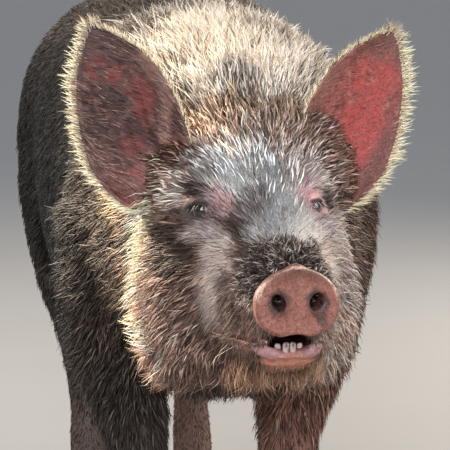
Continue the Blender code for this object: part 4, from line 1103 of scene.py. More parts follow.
# Soft patches of colour: frame, middle, radii, colour of the hair and of the skin from 0 to 255,
# strength, raggedness; some are painted light or shade, as said above them. In the head's frame +x is the
# pig's left.
markings = {
    "saddle": ("body", (0.00, 0.10, 0.80), (0.17, 0.90, 0.12),
        (92, 79, 68), (110, 90, 78), 0.90, 0.60),
    "crest": ("body", (0.02, -0.32, 0.76), (0.15, 0.24, 0.15),
        (226, 212, 197), (196, 162, 144), 0.95, 0.70),
    "crest_stain": ("body", (-0.05, -0.34, 0.70), (0.07, 0.10, 0.05),
        (128, 102, 78), (150, 116, 98), 0.35, 0.90),
    "crest_stain_b": ("body", (0.08, -0.28, 0.72), (0.06, 0.07, 0.04),
        (138, 112, 86), (150, 116, 98), 0.60, 0.90),
    "right_neck": ("body", (-0.14, -0.38, 0.52), (0.10, 0.16, 0.20),
        (80, 66, 56), (80, 60, 50), 0.90, 0.45),
    "left_neck": ("body", (0.16, -0.36, 0.50), (0.10, 0.16, 0.22),
        (78, 54, 44), (84, 62, 54), 0.90, 0.35),
    # painted shade: the pig's right flank darker than its left, standing in for shade
    "right_flank": ("body", (-0.20, 0.12, 0.46), (0.14, 0.56, 0.31),
        (42, 41, 42), (38, 35, 35), 0.97, 0.20),
    "left_flank": ("body", (0.20, 0.10, 0.46), (0.13, 0.36, 0.25),
        (58, 52, 48), (52, 44, 41), 0.90, 0.35),
    # painted shade: darker still towards the back of the right flank
    "rear_flank": ("body", (-0.17, 0.42, 0.38), (0.08, 0.22, 0.22),
        (22, 22, 22), (22, 20, 20), 0.85, 0.30),
    "chest": ("body", (0.00, -0.34, 0.36), (0.20, 0.12, 0.14),
        (76, 62, 54), (74, 54, 47), 0.90, 0.30),
    "rump_pale": ("body", (0.06, 0.58, 0.66), (0.14, 0.16, 0.14),
        (150, 132, 116), (150, 118, 106), 0.85, 0.50),
    "belly_pale": ("body", (0.02, 0.12, 0.28), (0.13, 0.28, 0.07),
        (134, 114, 104), (160, 124, 114), 0.75, 0.50),
    "right_foreleg": ("body", (-0.09, -0.26, 0.16), (0.09, 0.14, 0.28),
        (64, 57, 53), (60, 48, 44), 0.92, 0.25),
    "left_foreleg": ("body", (0.09, -0.26, 0.16), (0.09, 0.14, 0.28),
        (142, 104, 90), (156, 110, 98), 0.92, 0.25),
    "right_hindleg": ("body", (-0.09, 0.43, 0.16), (0.10, 0.18, 0.28),
        (56, 49, 46), (88, 70, 62), 0.90, 0.30),
    "left_hindleg": ("body", (0.09, 0.45, 0.14), (0.09, 0.16, 0.24),
        (104, 82, 72), (120, 88, 78), 0.90, 0.30),
    "cheeks": ("head", (0.0, 0.03, -0.08), (0.16, 0.14, 0.16),
        (118, 96, 86), (112, 84, 76), 0.92, 0.20),
    # painted light: a pale gold patch on the edge of the neck stands in for light from behind
    "painted_neck_light": ("body", (-0.150, -0.43, 0.590), (0.042, 0.060, 0.052),
        (200, 170, 126), (150, 112, 86), 0.88, 0.60),
    # painted light: pale gold along the edge of the cheek stands in for light from behind
    "painted_rim_light": ("head", (-0.110, 0.052, -0.048), (0.024, 0.054, 0.090),
        (254, 232, 194), (200, 168, 132), 0.90, 0.75),
    # painted light: the same light from behind, lower down the edge of the cheek
    "painted_rim_light_low": ("head", (-0.112, 0.034, -0.140), (0.020, 0.050, 0.044),
        (214, 176, 132), (150, 112, 88), 0.80, 0.90),
    "poll": ("head", (0.000, 0.050, 0.076), (0.125, 0.06, 0.044),
        (158, 126, 104), (148, 112, 98), 0.92, 0.45),
    "ear_root_right": ("head", (-0.082, 0.048, 0.042), (0.042, 0.064, 0.060),
        (160, 124, 106), (160, 122, 108), 0.92, 0.45),
    "temple_right": ("head", (-0.078, 0.024, 0.024), (0.026, 0.040, 0.026),
        (236, 206, 190), (190, 150, 138), 0.85, 0.55),
    "poll_right": ("head", (-0.058, 0.058, 0.062), (0.032, 0.040, 0.024),
        (116, 84, 70), (130, 96, 84), 0.88, 0.55),
    "ear_root_left": ("head", (0.098, 0.060, 0.045), (0.044, 0.060, 0.060),
        (162, 128, 114), (176, 130, 118), 0.92, 0.40),
    "face_left": ("head", (0.076, -0.03, -0.055), (0.046, 0.12, 0.120),
        (190, 170, 162), (188, 148, 142), 0.92, 0.35),
    "forehead": ("head", (0.006, -0.01, 0.036), (0.072, 0.076, 0.040),
        (246, 234, 226), (206, 180, 176), 0.97, 0.38),
    "forehead_top": ("head", (0.030, 0.042, 0.066), (0.078, 0.036, 0.024),
        (180, 150, 134), (170, 136, 124), 0.80, 0.60),
    "forehead_left": ("head", (0.058, 0.00, 0.030), (0.036, 0.062, 0.038),
        (206, 184, 174), (204, 164, 158), 0.80, 0.45),
    "jaw_left": ("head", (0.066, -0.03, -0.130), (0.040, 0.08, 0.042),
        (206, 174, 156), (180, 132, 118), 0.85, 0.60),
    "right_cheek": ("head", (-0.080, 0.00, -0.105), (0.060, 0.13, 0.095),
        (164, 130, 117), (132, 100, 90), 0.92, 0.35),
    "right_cheek_low": ("head", (-0.088, -0.006, -0.146), (0.036, 0.064, 0.034),
        (184, 148, 132), (150, 112, 98), 0.80, 0.65),
    "right_cheek_up": ("head", (-0.084, -0.01, -0.040), (0.026, 0.06, 0.030),
        (68, 54, 49), (80, 60, 55), 0.92, 0.45),
    "right_muzzle": ("head", (-0.046, -0.10, -0.092), (0.034, 0.06, 0.050),
        (144, 116, 104), (136, 104, 94), 0.88, 0.55),
    "nose_ridge": ("head", (0.014, -0.07, -0.010), (0.046, 0.06, 0.028),
        (246, 240, 240), (190, 162, 158), 0.92, 0.55),
    "nose_strip": ("head", (-0.055, -0.076, -0.058), (0.018, 0.042, 0.054),
        (236, 208, 200), (186, 152, 144), 0.92, 0.55),
    "muzzle_band": ("head", (-0.004, -0.128, -0.052), (0.062, 0.044, 0.036),
        (66, 56, 51), (46, 37, 35), 0.97, 0.35),
    "muzzle_left_dark": ("head", (-0.052, -0.104, -0.078), (0.014, 0.03, 0.034),
        (98, 80, 72), (80, 62, 56), 0.75, 0.70),
    "muzzle_right_pale": ("head", (0.062, -0.10, -0.070), (0.022, 0.05, 0.048),
        (224, 202, 192), (200, 156, 148), 0.88, 0.35),
    "beside_mouth": ("head", (-0.040, -0.128, -0.122), (0.022, 0.03, 0.014),
        (148, 112, 98), (142, 104, 94), 0.85, 0.70),
    "beside_mouth_left": ("head", (0.042, -0.128, -0.118), (0.022, 0.03, 0.022),
        (196, 164, 148), (176, 134, 126), 0.80, 0.70),
    "whorl": ("head", (-0.006, -0.042, 0.008), (0.013, 0.03, 0.012),
        (146, 132, 128), (130, 108, 102), 0.75, 0.90),
    "whorl_down": ("head", (-0.026, -0.045, -0.004), (0.018, 0.04, 0.016),
        (156, 134, 128), (140, 112, 106), 0.75, 0.80),
    "brow_dark": ("head", (-0.062, -0.008, 0.020), (0.018, 0.022, 0.010),
        (84, 70, 67), (80, 62, 58), 0.90, 0.55),
    "right_eye": ("head", (-0.064, -0.010, -0.004), (0.022, 0.024, 0.012),
        (110, 92, 88), (104, 80, 76), 0.80, 0.50),
    "right_eye_pink": ("head", (-0.046, -0.029, 0.005), (0.012, 0.022, 0.020),
        (196, 158, 154), (186, 138, 134), 0.85, 0.60),
    "under_right_eye": ("head", (-0.060, -0.036, -0.020), (0.022, 0.030, 0.011),
        (204, 182, 178), (190, 150, 148), 0.85, 0.50),
    "left_eye": ("head", (0.052, -0.024, 0.006), (0.018, 0.026, 0.025),
        (216, 176, 180), (206, 156, 158), 0.94, 0.30),
    "left_eye_low": ("head", (0.064, -0.028, -0.016), (0.020, 0.026, 0.012),
        (182, 164, 168), (186, 152, 156), 0.85, 0.45),
    "left_eye_dark": ("head", (0.076, 0.004, 0.003), (0.007, 0.012, 0.012),
        (70, 60, 56), (96, 72, 68), 0.90, 0.60),
    "chin": ("head", (0.000, -0.130, -0.150), (0.034, 0.05, 0.018),
        (220, 160, 128), (204, 138, 112), 0.92, 0.25),
    # painted light: the hair under the chin brightened to pale gold, standing in for sunlight on it
    "under_chin": ("head", (0.000, -0.090, -0.178), (0.050, 0.07, 0.022),
        (222, 164, 126), (170, 118, 94), 0.90, 0.40),
    "jaw_dark": ("head", (-0.056, -0.05, -0.168), (0.045, 0.07, 0.030),
        (108, 82, 70), (92, 66, 57), 0.70, 0.60),
}
bodyHair, bodySkin = tone(88, 76, 68), tone(84, 64, 58)


def placesOf(points):
    return {"body": points, "head": inFrame(points, headAt)}


def markColours(points):
    places = placesOf(points)
    hair = np.tile(bodyHair, (len(points), 1))
    under = np.tile(bodySkin, (len(points), 1))
    ragged = {size: cloud(points, size, 3) - 0.5 for size in (0.05, 0.014)}
    for place, middle, radii, onHair, onSkin, strength, rough in markings.values():
        noise = ragged[0.05] if place == "body" else ragged[0.014]
        away = fromSpot(places[place], middle, radii) + noise * rough * 2
        w = strength * smoothStep(1.20, 0.70, away)
        hair += (tone(*onHair) - hair) * w[:, None]
        under += (tone(*onSkin) - under) * w[:, None]
    speckle = smoothStep(0.62, 0.74, cloud(points, 0.012, 2, 3.1))
    pale = smoothStep(0.30, 0.60, hair.mean(axis=1))
    hair *= (1 - 0.30 * speckle * pale)[:, None]
    return hair, under


# Which way the coat lies: up and out from the snout over the face, back and down behind it.
def lieOf(points, normals):
    at = inFrame(points, headAt)
    turn = np.array(headAt)[:3, :3]
    away = at - np.array(discAt)
    away[:, 1] *= 0.6
    away[:, 2] -= 0.03 + 0.055 * smoothStep(0.035, 0.085, np.abs(at[:, 0]))
    away /= np.linalg.norm(away, axis=1)[:, None]
    away = away @ turn.T
    none, one = np.zeros(len(points)), np.ones(len(points))
    down = np.stack([none, one, -0.30 - 0.5 * np.minimum(1, np.abs(points[:, 0]) / barrel)], axis=1)
    top = smoothStep(0.62, 0.70, points[:, 2]) * smoothStep(0.3, 0.7, normals[:, 2])
    down += top[:, None] * (np.stack([points[:, 0] * 1.2, one, none], axis=1) - down)
    leg = smoothStep(0.36, 0.26, points[:, 2])
    down += leg[:, None] * (np.array([0.0, 0.35, -1.0]) - down)
    down /= np.linalg.norm(down, axis=1)[:, None]
    behind = smoothStep(0.02, 0.16, points[:, 1] - eyeMiddle.y)
    return away + (down - away) * behind[:, None]


def tangentTo(vectors, normals):
    flat = vectors - normals * np.sum(vectors * normals, axis=1)[:, None]
    return flat / np.maximum(np.linalg.norm(flat, axis=1), 1e-6)[:, None]


# Length in metres, number per square metre and width by region, and how the single tufts vary, with painted
# shade at the roots.
coatValues = {
    "bodyLength": 0.021, "neckLength": 0.029, "crestLength": 0.034,
    "faceCount": 430000, "headCount": 250000, "neckCount": 165000, "bodyCount": 92000, "legCount": 120000,
    "neckWidth": 0.0019, "bodyWidth": 0.0023, "legWidth": 0.0017,
    "wander": 0.18, "locks": 0.9, "bentFrom": 0.024, "rootShade": 0.44, "paleRoot": 0.30,
}


# How far a point is into the shaggy dark band over the snout disc.
def bandAt(at):
    away = fromSpot(at, (-0.004, -0.134, -0.054), (0.060, 0.036, 0.038))
    return smoothStep(1.1, 0.8, away)


def blend(first, second, share):
    return first + (second - first) * share


def coatAt(points, normals):
    at = inFrame(points, headAt)
    values = coatValues
    reach = np.linalg.norm(at - np.array(discAt), axis=1)
    head = smoothStep(0.125, 0.085, at[:, 1])
    faceLength = np.interp(
        reach, (0.03, 0.06, 0.10, 0.16, 0.24), (0.0070, 0.0105, 0.0135, 0.0165, 0.0220)
    )
    cheek = smoothStep(-0.02, -0.07, at[:, 2]) * smoothStep(-0.09, 0.02, at[:, 1])
    faceLength = faceLength * (1 + 0.45 * cheek)
    under = smoothStep(-0.12, -0.16, at[:, 2]) * smoothStep(-0.13, -0.06, at[:, 1])
    faceLength = faceLength * (1 + 0.6 * under)
    height = points[:, 2]
    side = smoothStep(-0.10, -0.22, points[:, 1])
    length = blend(values["bodyLength"], values["neckLength"], side)
    crest = smoothStep(0.5, 0.8, normals[:, 2]) * smoothStep(0.25, -0.05, points[:, 1])
    length = blend(length, values["crestLength"], crest)
    leg = smoothStep(0.36, 0.24, height)
    legLength = np.interp(height, (0.04, 0.12, 0.25), (0.008, 0.011, 0.018))
    length = blend(length, legLength, leg)
    length = blend(length, faceLength, head)
    width = blend(values["bodyWidth"], values["neckWidth"], side)
    width = blend(width, values["legWidth"], leg)
    faceWidth = np.interp(reach, (0.03, 0.12, 0.20, 0.30), (0.00115, 0.0015, 0.0017, 0.0019))
    width = blend(width, faceWidth, head)
    lift = 0.10 + 0.10 * side + 0.14 * crest
    lift = blend(lift, 0.12, leg)
    band = bandAt(at)
    faceLift = 0.21 + 0.10 * cheek
    lift = blend(lift, faceLift, head)
    lift = blend(lift, 0.75, band)
    length = length * (1 - 0.10 * band)
    count = blend(values["bodyCount"], values["neckCount"], side)
    count = blend(count, values["legCount"], leg)
    faceCount = np.interp(reach, (0.05, 0.17, 0.22, 0.27), (1.0, 1.0, 0.55, 0.0))
    faceCount = (values["faceCount"] - values["headCount"]) * faceCount * (1 - 0.65 * cheek)
    count = blend(count, values["headCount"] + faceCount, head)
    eyeThin = np.ones(len(points))
    for side in (1, -1):
        fromEye = np.linalg.norm(points - np.array(eyeFrame(side)[0]), axis=1)
        length = length * (1 - 0.42 * smoothStep(0.030, 0.017, fromEye))
    for spot, thin in (((0.050, -0.022, 0.002), 0.55), ((-0.037, -0.034, 0.0), 0.45)):
        close = np.linalg.norm((at - np.array(spot)) / np.array((0.017, 0.022, 0.020)), axis=1)
        eyeThin *= 1 - thin * smoothStep(1.1, 0.7, close)
    return length * np.sqrt(eyeThin), width, lift, count * eyeThin


# How bare a point is: 1 in the mouth, on the lips' edge, at the lids, on the disc and the soles.
def bareAt(points):
    at = inFrame(points, headAt)
    bare = np.zeros(len(points))
    lens = np.hypot(
        (at[:, 0] - mouthShift) / (mouthHalf + 0.010),
        (at[:, 2] - mouthFront[1] + 0.003) / (mouthRise + 0.008)
    )
    bare = np.maximum(
        bare, smoothStep(1.1, 0.95, lens) * (at[:, 1] < -0.07) * (at[:, 2] < mouthFront[1] + 0.0015)
    )
    inMouth = np.hypot((at[:, 0] - mouthShift) / mouthHalf, (at[:, 2] - mouthFront[1]) / mouthRise)
    bare = np.maximum(bare, (inMouth < 1.0) * (at[:, 1] < -0.07))
    chin = fromSpot(at, (0.000, -0.150, -0.141), (0.028, 0.034, 0.016))
    bare = np.maximum(bare, 0.88 * smoothStep(1.15, 0.85, chin))
    wedge = fromSpot(at, (0.000, -0.138, -0.155), (0.017, 0.030, 0.013))
    bare = np.maximum(bare, 0.75 * smoothStep(1.2, 0.8, wedge))
    slit = np.abs(at[:, 2] - mouthFront[1] + 0.0005)
    bare = np.maximum(bare, smoothStep(0.0022, 0.0010, slit) * (at[:, 1] < mouthCorner[0] + 0.004))
    for side in (1, -1):
        middle, out, along, up = (np.array(v) for v in eyeFrame(side))
        d = points - middle
        above = d @ up > 0
        oval2 = np.hypot(
            d @ along / (eyeOpening[0] * 1.22), d @ up / (eyeOpening[1] * np.where(above, 2.3, 1.5))
        )
        bare = np.maximum(bare, smoothStep(1.12, 0.98, oval2) * (d @ out > 0))
    disc = inFrame(points, discMatrix())
    outline = np.hypot(disc[:, 0] / discHalf.x, disc[:, 2] / discHalf.z)
    bare = np.maximum(bare, ((disc[:, 1] < -0.0020) & (outline < 1.12)).astype(float))
    bare = np.maximum(bare, (points[:, 2] < 0.038).astype(float))
    return bare


# Random roots on a mesh, as many per square metre as asked at each triangle.
def rootsOn(mesh, countAt):
    mesh.calc_loop_triangles()
    corners = np.empty(len(mesh.loop_triangles) * 3, np.int32)
    mesh.loop_triangles.foreach_get("vertices", corners)
    corners = corners.reshape(-1, 3)
    points, normals = readPoints(mesh), readNormals(mesh)
    a, b, c = (points[corners[:, k]] for k in range(3))
    faceWays = np.cross(b - a, c - a)
    area = np.linalg.norm(faceWays, axis=1) / 2
    middles = (a + b + c) / 3
    large = area > 3e-6
    turned = np.where(
        large[:, None], faceWays / np.maximum(area, 1e-12)[:, None] / 2, normals[corners].mean(axis=1)
    )
    wanted = area * countAt(middles, turned)
    number = np.floor(wanted + draw.random(len(wanted))).astype(int)
    pick = np.repeat(np.arange(len(corners)), number)
    u, v = draw.random(len(pick)), draw.random(len(pick))
    flip = u + v > 1
    u[flip], v[flip] = 1 - u[flip], 1 - v[flip]
    shares = np.stack([1 - u - v, u, v], axis=1)[:, :, None]
    roots = (points[corners[pick]] * shares).sum(axis=1)
    ways = np.where(large[pick][:, None], turned[pick], (normals[corners[pick]] * shares).sum(axis=1))
    return roots, ways / np.linalg.norm(ways, axis=1)[:, None]


tufts = []


# Keeps one set of tufts; all the arrays have a row for each tuft.
def addTufts(
    kind, roots, normals, lies, lengths, widths, lifts, rootTints, tipTints, bent=True, bends=None
):
    n = len(roots)
    if bends is None:
        bends = draw.normal(0, 0.10, n)
    tufts.append({
        "kind": kind, "roots": roots, "normals": normals, "lies": lies,
        "lengths": np.broadcast_to(lengths, n), "widths": np.broadcast_to(widths, n),
        "lifts": np.broadcast_to(lifts, n), "rootTints": rootTints, "tipTints": tipTints,
        "bent": bent, "bends": bends,
    })


# Colours of single tufts at root and tip: the marking, in small clumps, with paler and darker tufts,
# and each root darker than its tip as painted shade.
def hairTints(roots, spread=0.32, paleShare=0.22, darkShare=0.22):
    hair, under = markColours(roots)
    n = len(roots)
    light = smoothStep(0.25, 0.60, hair.mean(axis=1))
    calm = light * smoothStep(0.63, 0.66, roots[:, 2])
    clump = 0.80 + 0.50 * cloud(roots, 0.0055, 2, 1.3) * (1 - 0.6 * calm) + 0.15 * light + 0.12 * calm
    tip = hair * (np.exp(draw.normal(0.0, spread, n) * (1 - 0.5 * light - 0.3 * calm)) * clump)[:, None]
    kind = draw.random(n)
    pale, dark = kind < paleShare * (1 - calm), kind > 1 - darkShare * (1 - 0.5 * light - 0.42 * calm)
    tip[pale] = np.minimum(tip[pale] * 2.2 + 0.012, 0.55 + 0.4 * tip[pale])
    tip[dark] *= 0.30
    tip = np.clip(tip, 0.004, 0.90)
    # painted shade: the root darker than the tip, less so on pale hair and on the crest
    root = tip * (coatValues["rootShade"] + coatValues["paleRoot"] * light + 0.16 * calm)[:, None]
    return root, tip


# The lie with soft locks in it and a little of each tuft's own way.
def waved(lies, roots, normals, locks, wander):
    across = np.cross(normals, lies)
    swing = (cloud(roots, 0.016, 2, 2.9) - 0.5) * locks + draw.normal(0, wander, len(roots))
    return tangentTo(lies + across * swing[:, None], normals)


print("coat")
skinPart = None


def fleshCount(middles, turned):
    global skinPart
    skinPart = partAt(middles)
    count = coatAt(middles, turned)[3] * (1 - bareAt(middles))
    return np.where(skinPart == 0, count, np.where(skinPart == 3, 140000, 0))


roots, normals = rootsOn(skin.data, fleshCount)
lengths, widths, lifts, _ = coatAt(roots, normals)
at = inFrame(roots, headAt)
band = bandAt(at)
onTail = (roots[:, 1] > tailRoot[0] + 0.012) & (np.abs(roots[:, 0]) < 0.08) & (roots[:, 2] > 0.5)
lies = waved(
    tangentTo(lieOf(roots, normals), normals), roots, normals, coatValues["locks"] + 1.5 * band,
    coatValues["wander"] + 0.8 * band
)
lengths = lengths * np.clip(draw.normal(1.0, 0.22, len(roots)), 0.5, 1.6)
lengths[onTail] = 0.012
widths[onTail] = 0.0014
widths = widths * np.clip(draw.normal(1.0, 0.20, len(roots)), 0.6, 1.6)
lifts = lifts * np.clip(draw.normal(1.0, 0.40, len(roots)), 0.2, 2.0)
rootTints, tipTints = hairTints(roots)
curly = band > 0.25
clumps = smoothStep(0.50, 0.66, cloud(roots, 0.0045, 2, 5.2))
paleCurls = curly & (draw.random(len(roots)) < 0.10 + 0.60 * clumps)
tipTints[paleCurls] = tone(196, 178, 166) * draw.uniform(0.5, 1.4, (int(paleCurls.sum()), 1))
widths[paleCurls] *= 1.3
bends = draw.normal(0, 0.10 + 0.50 * band)
short = (lengths < coatValues["bentFrom"]) & ~curly
for kind, use, bent in (("short", short, False), ("long", ~short, True)):
    addTufts(kind, roots[use], normals[use], lies[use], lengths[use], widths[use], lifts[use],
             rootTints[use], tipTints[use], bent, bends[use])
print("tufts of the flesh", len(roots), "short", int(short.sum()))


# Ears: fur on the back, fine hair inside that lies out towards the edge, and pale fringes with spikes.
earCoatValues = {
    "back": 150000, "backLength": 0.0125, "backWidth": 0.0014, "backTone": tone(196, 176, 152),
    "inside": (170000, 150000), "insideLength": (0.0100, 0.0165), "insideWidth": (0.00050, 0.00062),
    "insidePale": (tone(176, 128, 112), tone(140, 112, 102)),
    "insideDeep": (tone(84, 44, 40), tone(44, 31, 29)),
    "fringes": (
        (1, 0.02, 0.998, 1700, 0.0075, 0.0011),
        (1, 0.03, 0.998, 560, 0.0200, 0.0014),
        (-1, 0.20, 0.998, 1500, 0.0100, 0.0010),
    ),
    "fringeTone": tone(244, 226, 190),
}


# Distance of points from a path, both in the ear's own plane.
def nearPath(points, path):
    nearest = np.full(len(points), np.inf)
    path = np.array(path)
    for a, b in zip(path, path[1:]):
        share = np.clip(((points - a) @ (b - a)) / ((b - a) @ (b - a)), 0, 1)
        nearest = np.minimum(nearest, np.linalg.norm(points - a - share[:, None] * (b - a), axis=1))
    return nearest


# Where light shines through each ear: paths in the ear's plane and their width; the red there is painted
# light.
earGlowPaths = {
    1: (((0.108, 0.010), (0.071, 0.020), (0.030, 0.032)), 0.026),
    -1: (
        (
            (0.113, 0.014), (0.103, 0.000), (0.076, -0.016), (0.054, -0.015), (0.034, -0.002),
            (0.023, 0.018)
        ),
        0.015
    ),
}
for side in (1, -1):
    base, along, across, facing = (np.array(v) for v in earFrame(side))
    which = 0 if side == 1 else 1

    def earCount(middles, turned):
        plane = np.stack([(middles - base) @ along, (middles - base) @ across], axis=1)
        # fewer inner hairs over the painted red of light shining through the ear
        red = smoothStep(1.3, 0.8, nearPath(plane, earGlowPaths[side][0]) / earGlowPaths[side][1])
        inside = earCoatValues["inside"][which] * (1 - (0.72 if side == 1 else 0.45) * red)
        return np.where(turned @ facing > 0.25, inside, earCoatValues["back"])

    roots, normals = rootsOn(earCopies[side], earCount)
    n = len(roots)
    inner = normals @ facing > 0.25
    run = (roots - base) @ along
    out = (roots - base) @ across
    lies = np.where(
        inner[:, None],
        along * 0.62 + across * (0.62 + 3.0 * np.clip(out, -0.06, 0.04))[:, None],
        along + across * (6.0 * out)[:, None],
    )
    lies = waved(tangentTo(lies, normals), roots, normals, 0.7, 0.14)
    pale, deep = earCoatValues["insidePale"][which], earCoatValues["insideDeep"][which]
    outerEdge = 0.060 * np.sin(np.clip((run + 0.05) / 0.215, 0, 1) * math.pi) ** 0.7
    margin = smoothStep(0.022, 0.004, np.abs(out - outerEdge))
    margin = np.maximum(margin, smoothStep(-0.018, -0.034, out))
    light = draw.random(n) < 0.36 + 0.40 * margin
    insideTint = np.where(light[:, None], pale, deep) * np.exp(draw.normal(0, 0.26, n))[:, None]
    plane = np.stack([run, out], axis=1)
    inGlow = nearPath(plane, earGlowPaths[1][0]) < earGlowPaths[1][1] * 1.1
    dots = inner & (side == 1) & inGlow & (draw.random(n) < 0.7)
    insideTint[dots] = tone(62, 30, 28)
    backTint = earCoatValues["backTone"] * np.exp(draw.normal(0, 0.30, n))[:, None]
    brighter = np.where(draw.random(n) < 0.22, 2.1, 1.0)
    insideTint *= brighter[:, None] * (0.55 + 0.9 * cloud(roots, 0.0040, 2, 8.8))[:, None]
    tint = np.clip(np.where(inner[:, None], insideTint, backTint), 0.01, 0.9)
    lengths = np.where(inner, earCoatValues["insideLength"][which], earCoatValues["backLength"])
    lengths = lengths * draw.uniform(0.6, 1.4, n) * np.where(dots, 0.34, 1.0)
    widths = np.where(inner, earCoatValues["insideWidth"][which], earCoatValues["backWidth"])
    widths = widths * draw.uniform(0.8, 1.3, n) * np.where(dots, 2.4, 1.0)
    lifts = np.where(inner, 0.16, 0.24) * draw.uniform(0.5, 1.6, n)
    # painted shade: each ear tuft darker at the root
    addTufts("ear", roots, normals, lies, lengths, widths, lifts, tint * 0.7, tint, False)
    rootsList, outs = [], []
    for edge, first, last, number, reach, wide in earCoatValues["fringes"]:
        for at in draw.uniform(first, last, number):
            inside = draw.random() ** 1.8 * 0.13
            rim = earPoint(side, at, edge * (1.0 - inside))
            depth = draw.uniform(0.2, 0.98) if inside < 0.03 else 0.98
            rim -= Vector(facing) * skinValues["earThick"] * depth
            before, after = max(at - 0.03, 0.0), min(1.0, at + 0.03)
            ahead = (earPoint(side, after, edge) - earPoint(side, before, edge)).normalized()
            outward = (earPoint(side, at, edge) - earPoint(side, at, edge * 0.86)).normalized()
            way = outward * (0.85 if edge == 1 else 0.30) + ahead * draw.uniform(0.25, 1.0)
            way -= Vector(facing) * draw.normal(0.04, 0.14)
            rootsList.append(tuple(rim))
            outs.append((*way.normalized(), at, reach * (0.5 + 0.75 * draw.random()), wide))
    roots, outs = np.array(rootsList), np.array(outs)
    lies = outs[:, :3]
    faces = tangentTo(np.tile(-facing, (len(roots), 1)), lies)
    n = len(roots)
    length = outs[:, 4] * (1 - 0.25 * smoothStep(0.85, 1.0, outs[:, 3]))
    gold = earCoatValues["fringeTone"] * np.exp(draw.normal(0, 0.20, n))[:, None]
    brown = (draw.random(n) < 0.24) & (outs[:, 4] < 0.014)
    gold[brown] = tone(150, 112, 74) * draw.uniform(0.4, 1.2, (int(brown.sum()), 1))
    widths = outs[:, 5] * draw.uniform(0.6, 1.3, n)
    lifts = draw.normal(0.03, 0.08, n)
    # painted shade: fringe hairs darker at the root than at the tip
    rootTints, tipTints = np.clip(gold * 0.62, 0, 0.9), np.clip(gold * 1.10, 0, 0.92)
    addTufts("fringe", roots, faces, lies, length, widths, lifts, rootTints, tipTints)
print("tufts with the ears", sum(len(t["roots"]) for t in tufts))


# Longer single bristles on cheeks, throat, neck and crest, and whiskers round the muzzle.
bristleValues = {
    "density": 9000, "whiskers": 46, "lashes": 30, "brush": 260, "sideburn": 110000, "beard": 110000
}


def bristleCount(middles, turned):
    place = inFrame(middles, headAt)
    count = np.where(skinPart == 0, bristleValues["density"], 0.0) * (1 - bareAt(middles))
    count *= smoothStep(-0.04, -0.12, middles[:, 1]) * (middles[:, 2] > 0.30) * (place[:, 1] > -0.03)
    return count * np.where(place[:, 1] < 0.09, place[:, 2] < -0.03, True)


roots, normals = rootsOn(skin.data, bristleCount)
lengths, widths, lifts, _ = coatAt(roots, normals)
n = len(roots)
lies = waved(tangentTo(lieOf(roots, normals), normals), roots, normals, 0.9, 0.24)
rootTints, tipTints = hairTints(roots, 0.30, 0.45, 0.25)
lengths = lengths * draw.uniform(1.0, 1.5, n)
widths = 0.0009 * draw.uniform(0.7, 1.3, n)
lifts = lifts * draw.uniform(1.0, 2.0, n)
addTufts(
    "bristle", roots, normals, lies, lengths, widths, lifts, rootTints, np.clip(tipTints * 1.25, 0, 0.9)
)

# Hair that stands out along the edge of the cheek, its pale gold a painted rim light, and the beard under
# the chin.
edgeLine = np.array((
    (-0.099, 0.070, -0.004),
    (-0.104, 0.060, -0.050),
    (-0.107, 0.045, -0.100),
    (-0.104, 0.025, -0.145),
))


def edgeCount(middles, turned):
    place = inFrame(middles, headAt)
    onLine = np.linspace(edgeLine[:-1], edgeLine[1:], 6).reshape(-1, 3)
    nearest = np.minimum.reduce([np.linalg.norm(place - p, axis=1) for p in onLine])
    return bristleValues["sideburn"] * smoothStep(0.020, 0.008, nearest) * (skinPart == 0)


def beardCount(middles, turned):
    place = inFrame(middles, headAt)
    aside, back, high = np.abs(place[:, 0]), place[:, 1], place[:, 2]
    inside = (aside < 0.050) & (back < -0.060) & (high < -0.140 - 0.014 * (aside < 0.022)) & (skinPart == 0)
    return bristleValues["beard"] * (inside * (1 - bareAt(middles)))


for countAt, way, hairTone, reach, wide, liftRange in (
    # painted light: the edge hair's pale gold stands in for light from behind
    (edgeCount, (-1.0, 0.15, -0.15), tone(255, 236, 200), 0.018, 0.0012, (0.6, 1.4)),
    (beardCount, (0.0, -0.15, -1.0), tone(156, 117, 94), 0.028, 0.00075, (0.30, 0.90)),
):
    roots, normals = rootsOn(skin.data, countAt)
    n = len(roots)
    place = inFrame(roots, headAt)
    heading = np.tile(np.array(way), (n, 1))
    beard = countAt is beardCount
    heading[:, 0] += 12.0 * place[:, 0] * beard
    lies = waved(tangentTo(heading @ np.array(headAt)[:3, :3].T, normals), roots, normals, 0.8, 0.20)
    tint = np.clip(hairTone * np.exp(draw.normal(0, 0.32 + 0.30 * beard, n))[:, None], 0, 0.92)
    lengths = reach * draw.uniform(0.6, 1.4, n)
    widths = wide * draw.uniform(0.7, 1.3, n)
    lifts = draw.uniform(*liftRange, n)
    # painted shade: darker at the root
    addTufts("bristle", roots, normals, lies, lengths, widths, lifts, tint * 0.55, tint)

tree = treeOf(skin)
rootsList, faces, ways = [], [], []
while len(rootsList) < bristleValues["whiskers"]:
    angle, y = random.uniform(0, math.tau), random.uniform(-0.135, -0.075)
    x, z = oval(angle, 0.10, 0.10, 2.2)
    start = headAt @ Vector((x, y, -0.110 + z))
    inward = (headAt @ Vector((0, y + 0.01, -0.110)) - start).normalized()
    hit, normal, _, _ = tree.ray_cast(start, inward)
    if hit is None or (headAt.inverted() @ hit).z > -0.105:
        continue
    if bareAt(np.array([tuple(hit)]))[0] > 0.2:
        continue
    rootsList.append(tuple(hit))
    faces.append(tuple(normal))
    way = hit - headAt @ discAt
    way.y = abs(way.y) * 0.6
    ways.append(tuple(way.normalized()))
roots, faces = np.array(rootsList), np.array(faces)
n = len(roots)
lies = tangentTo(np.array(ways) + draw.normal(0, 0.2, roots.shape), faces)
tint = np.where((draw.random(n) < 0.5)[:, None], tone(206, 186, 158), tone(70, 54, 46))
lengths, lifts = draw.uniform(0.014, 0.028, n), draw.uniform(0.5, 1.2, n)
addTufts("bristle", roots, faces, lies, lengths, 0.0005, lifts, tint, tint)

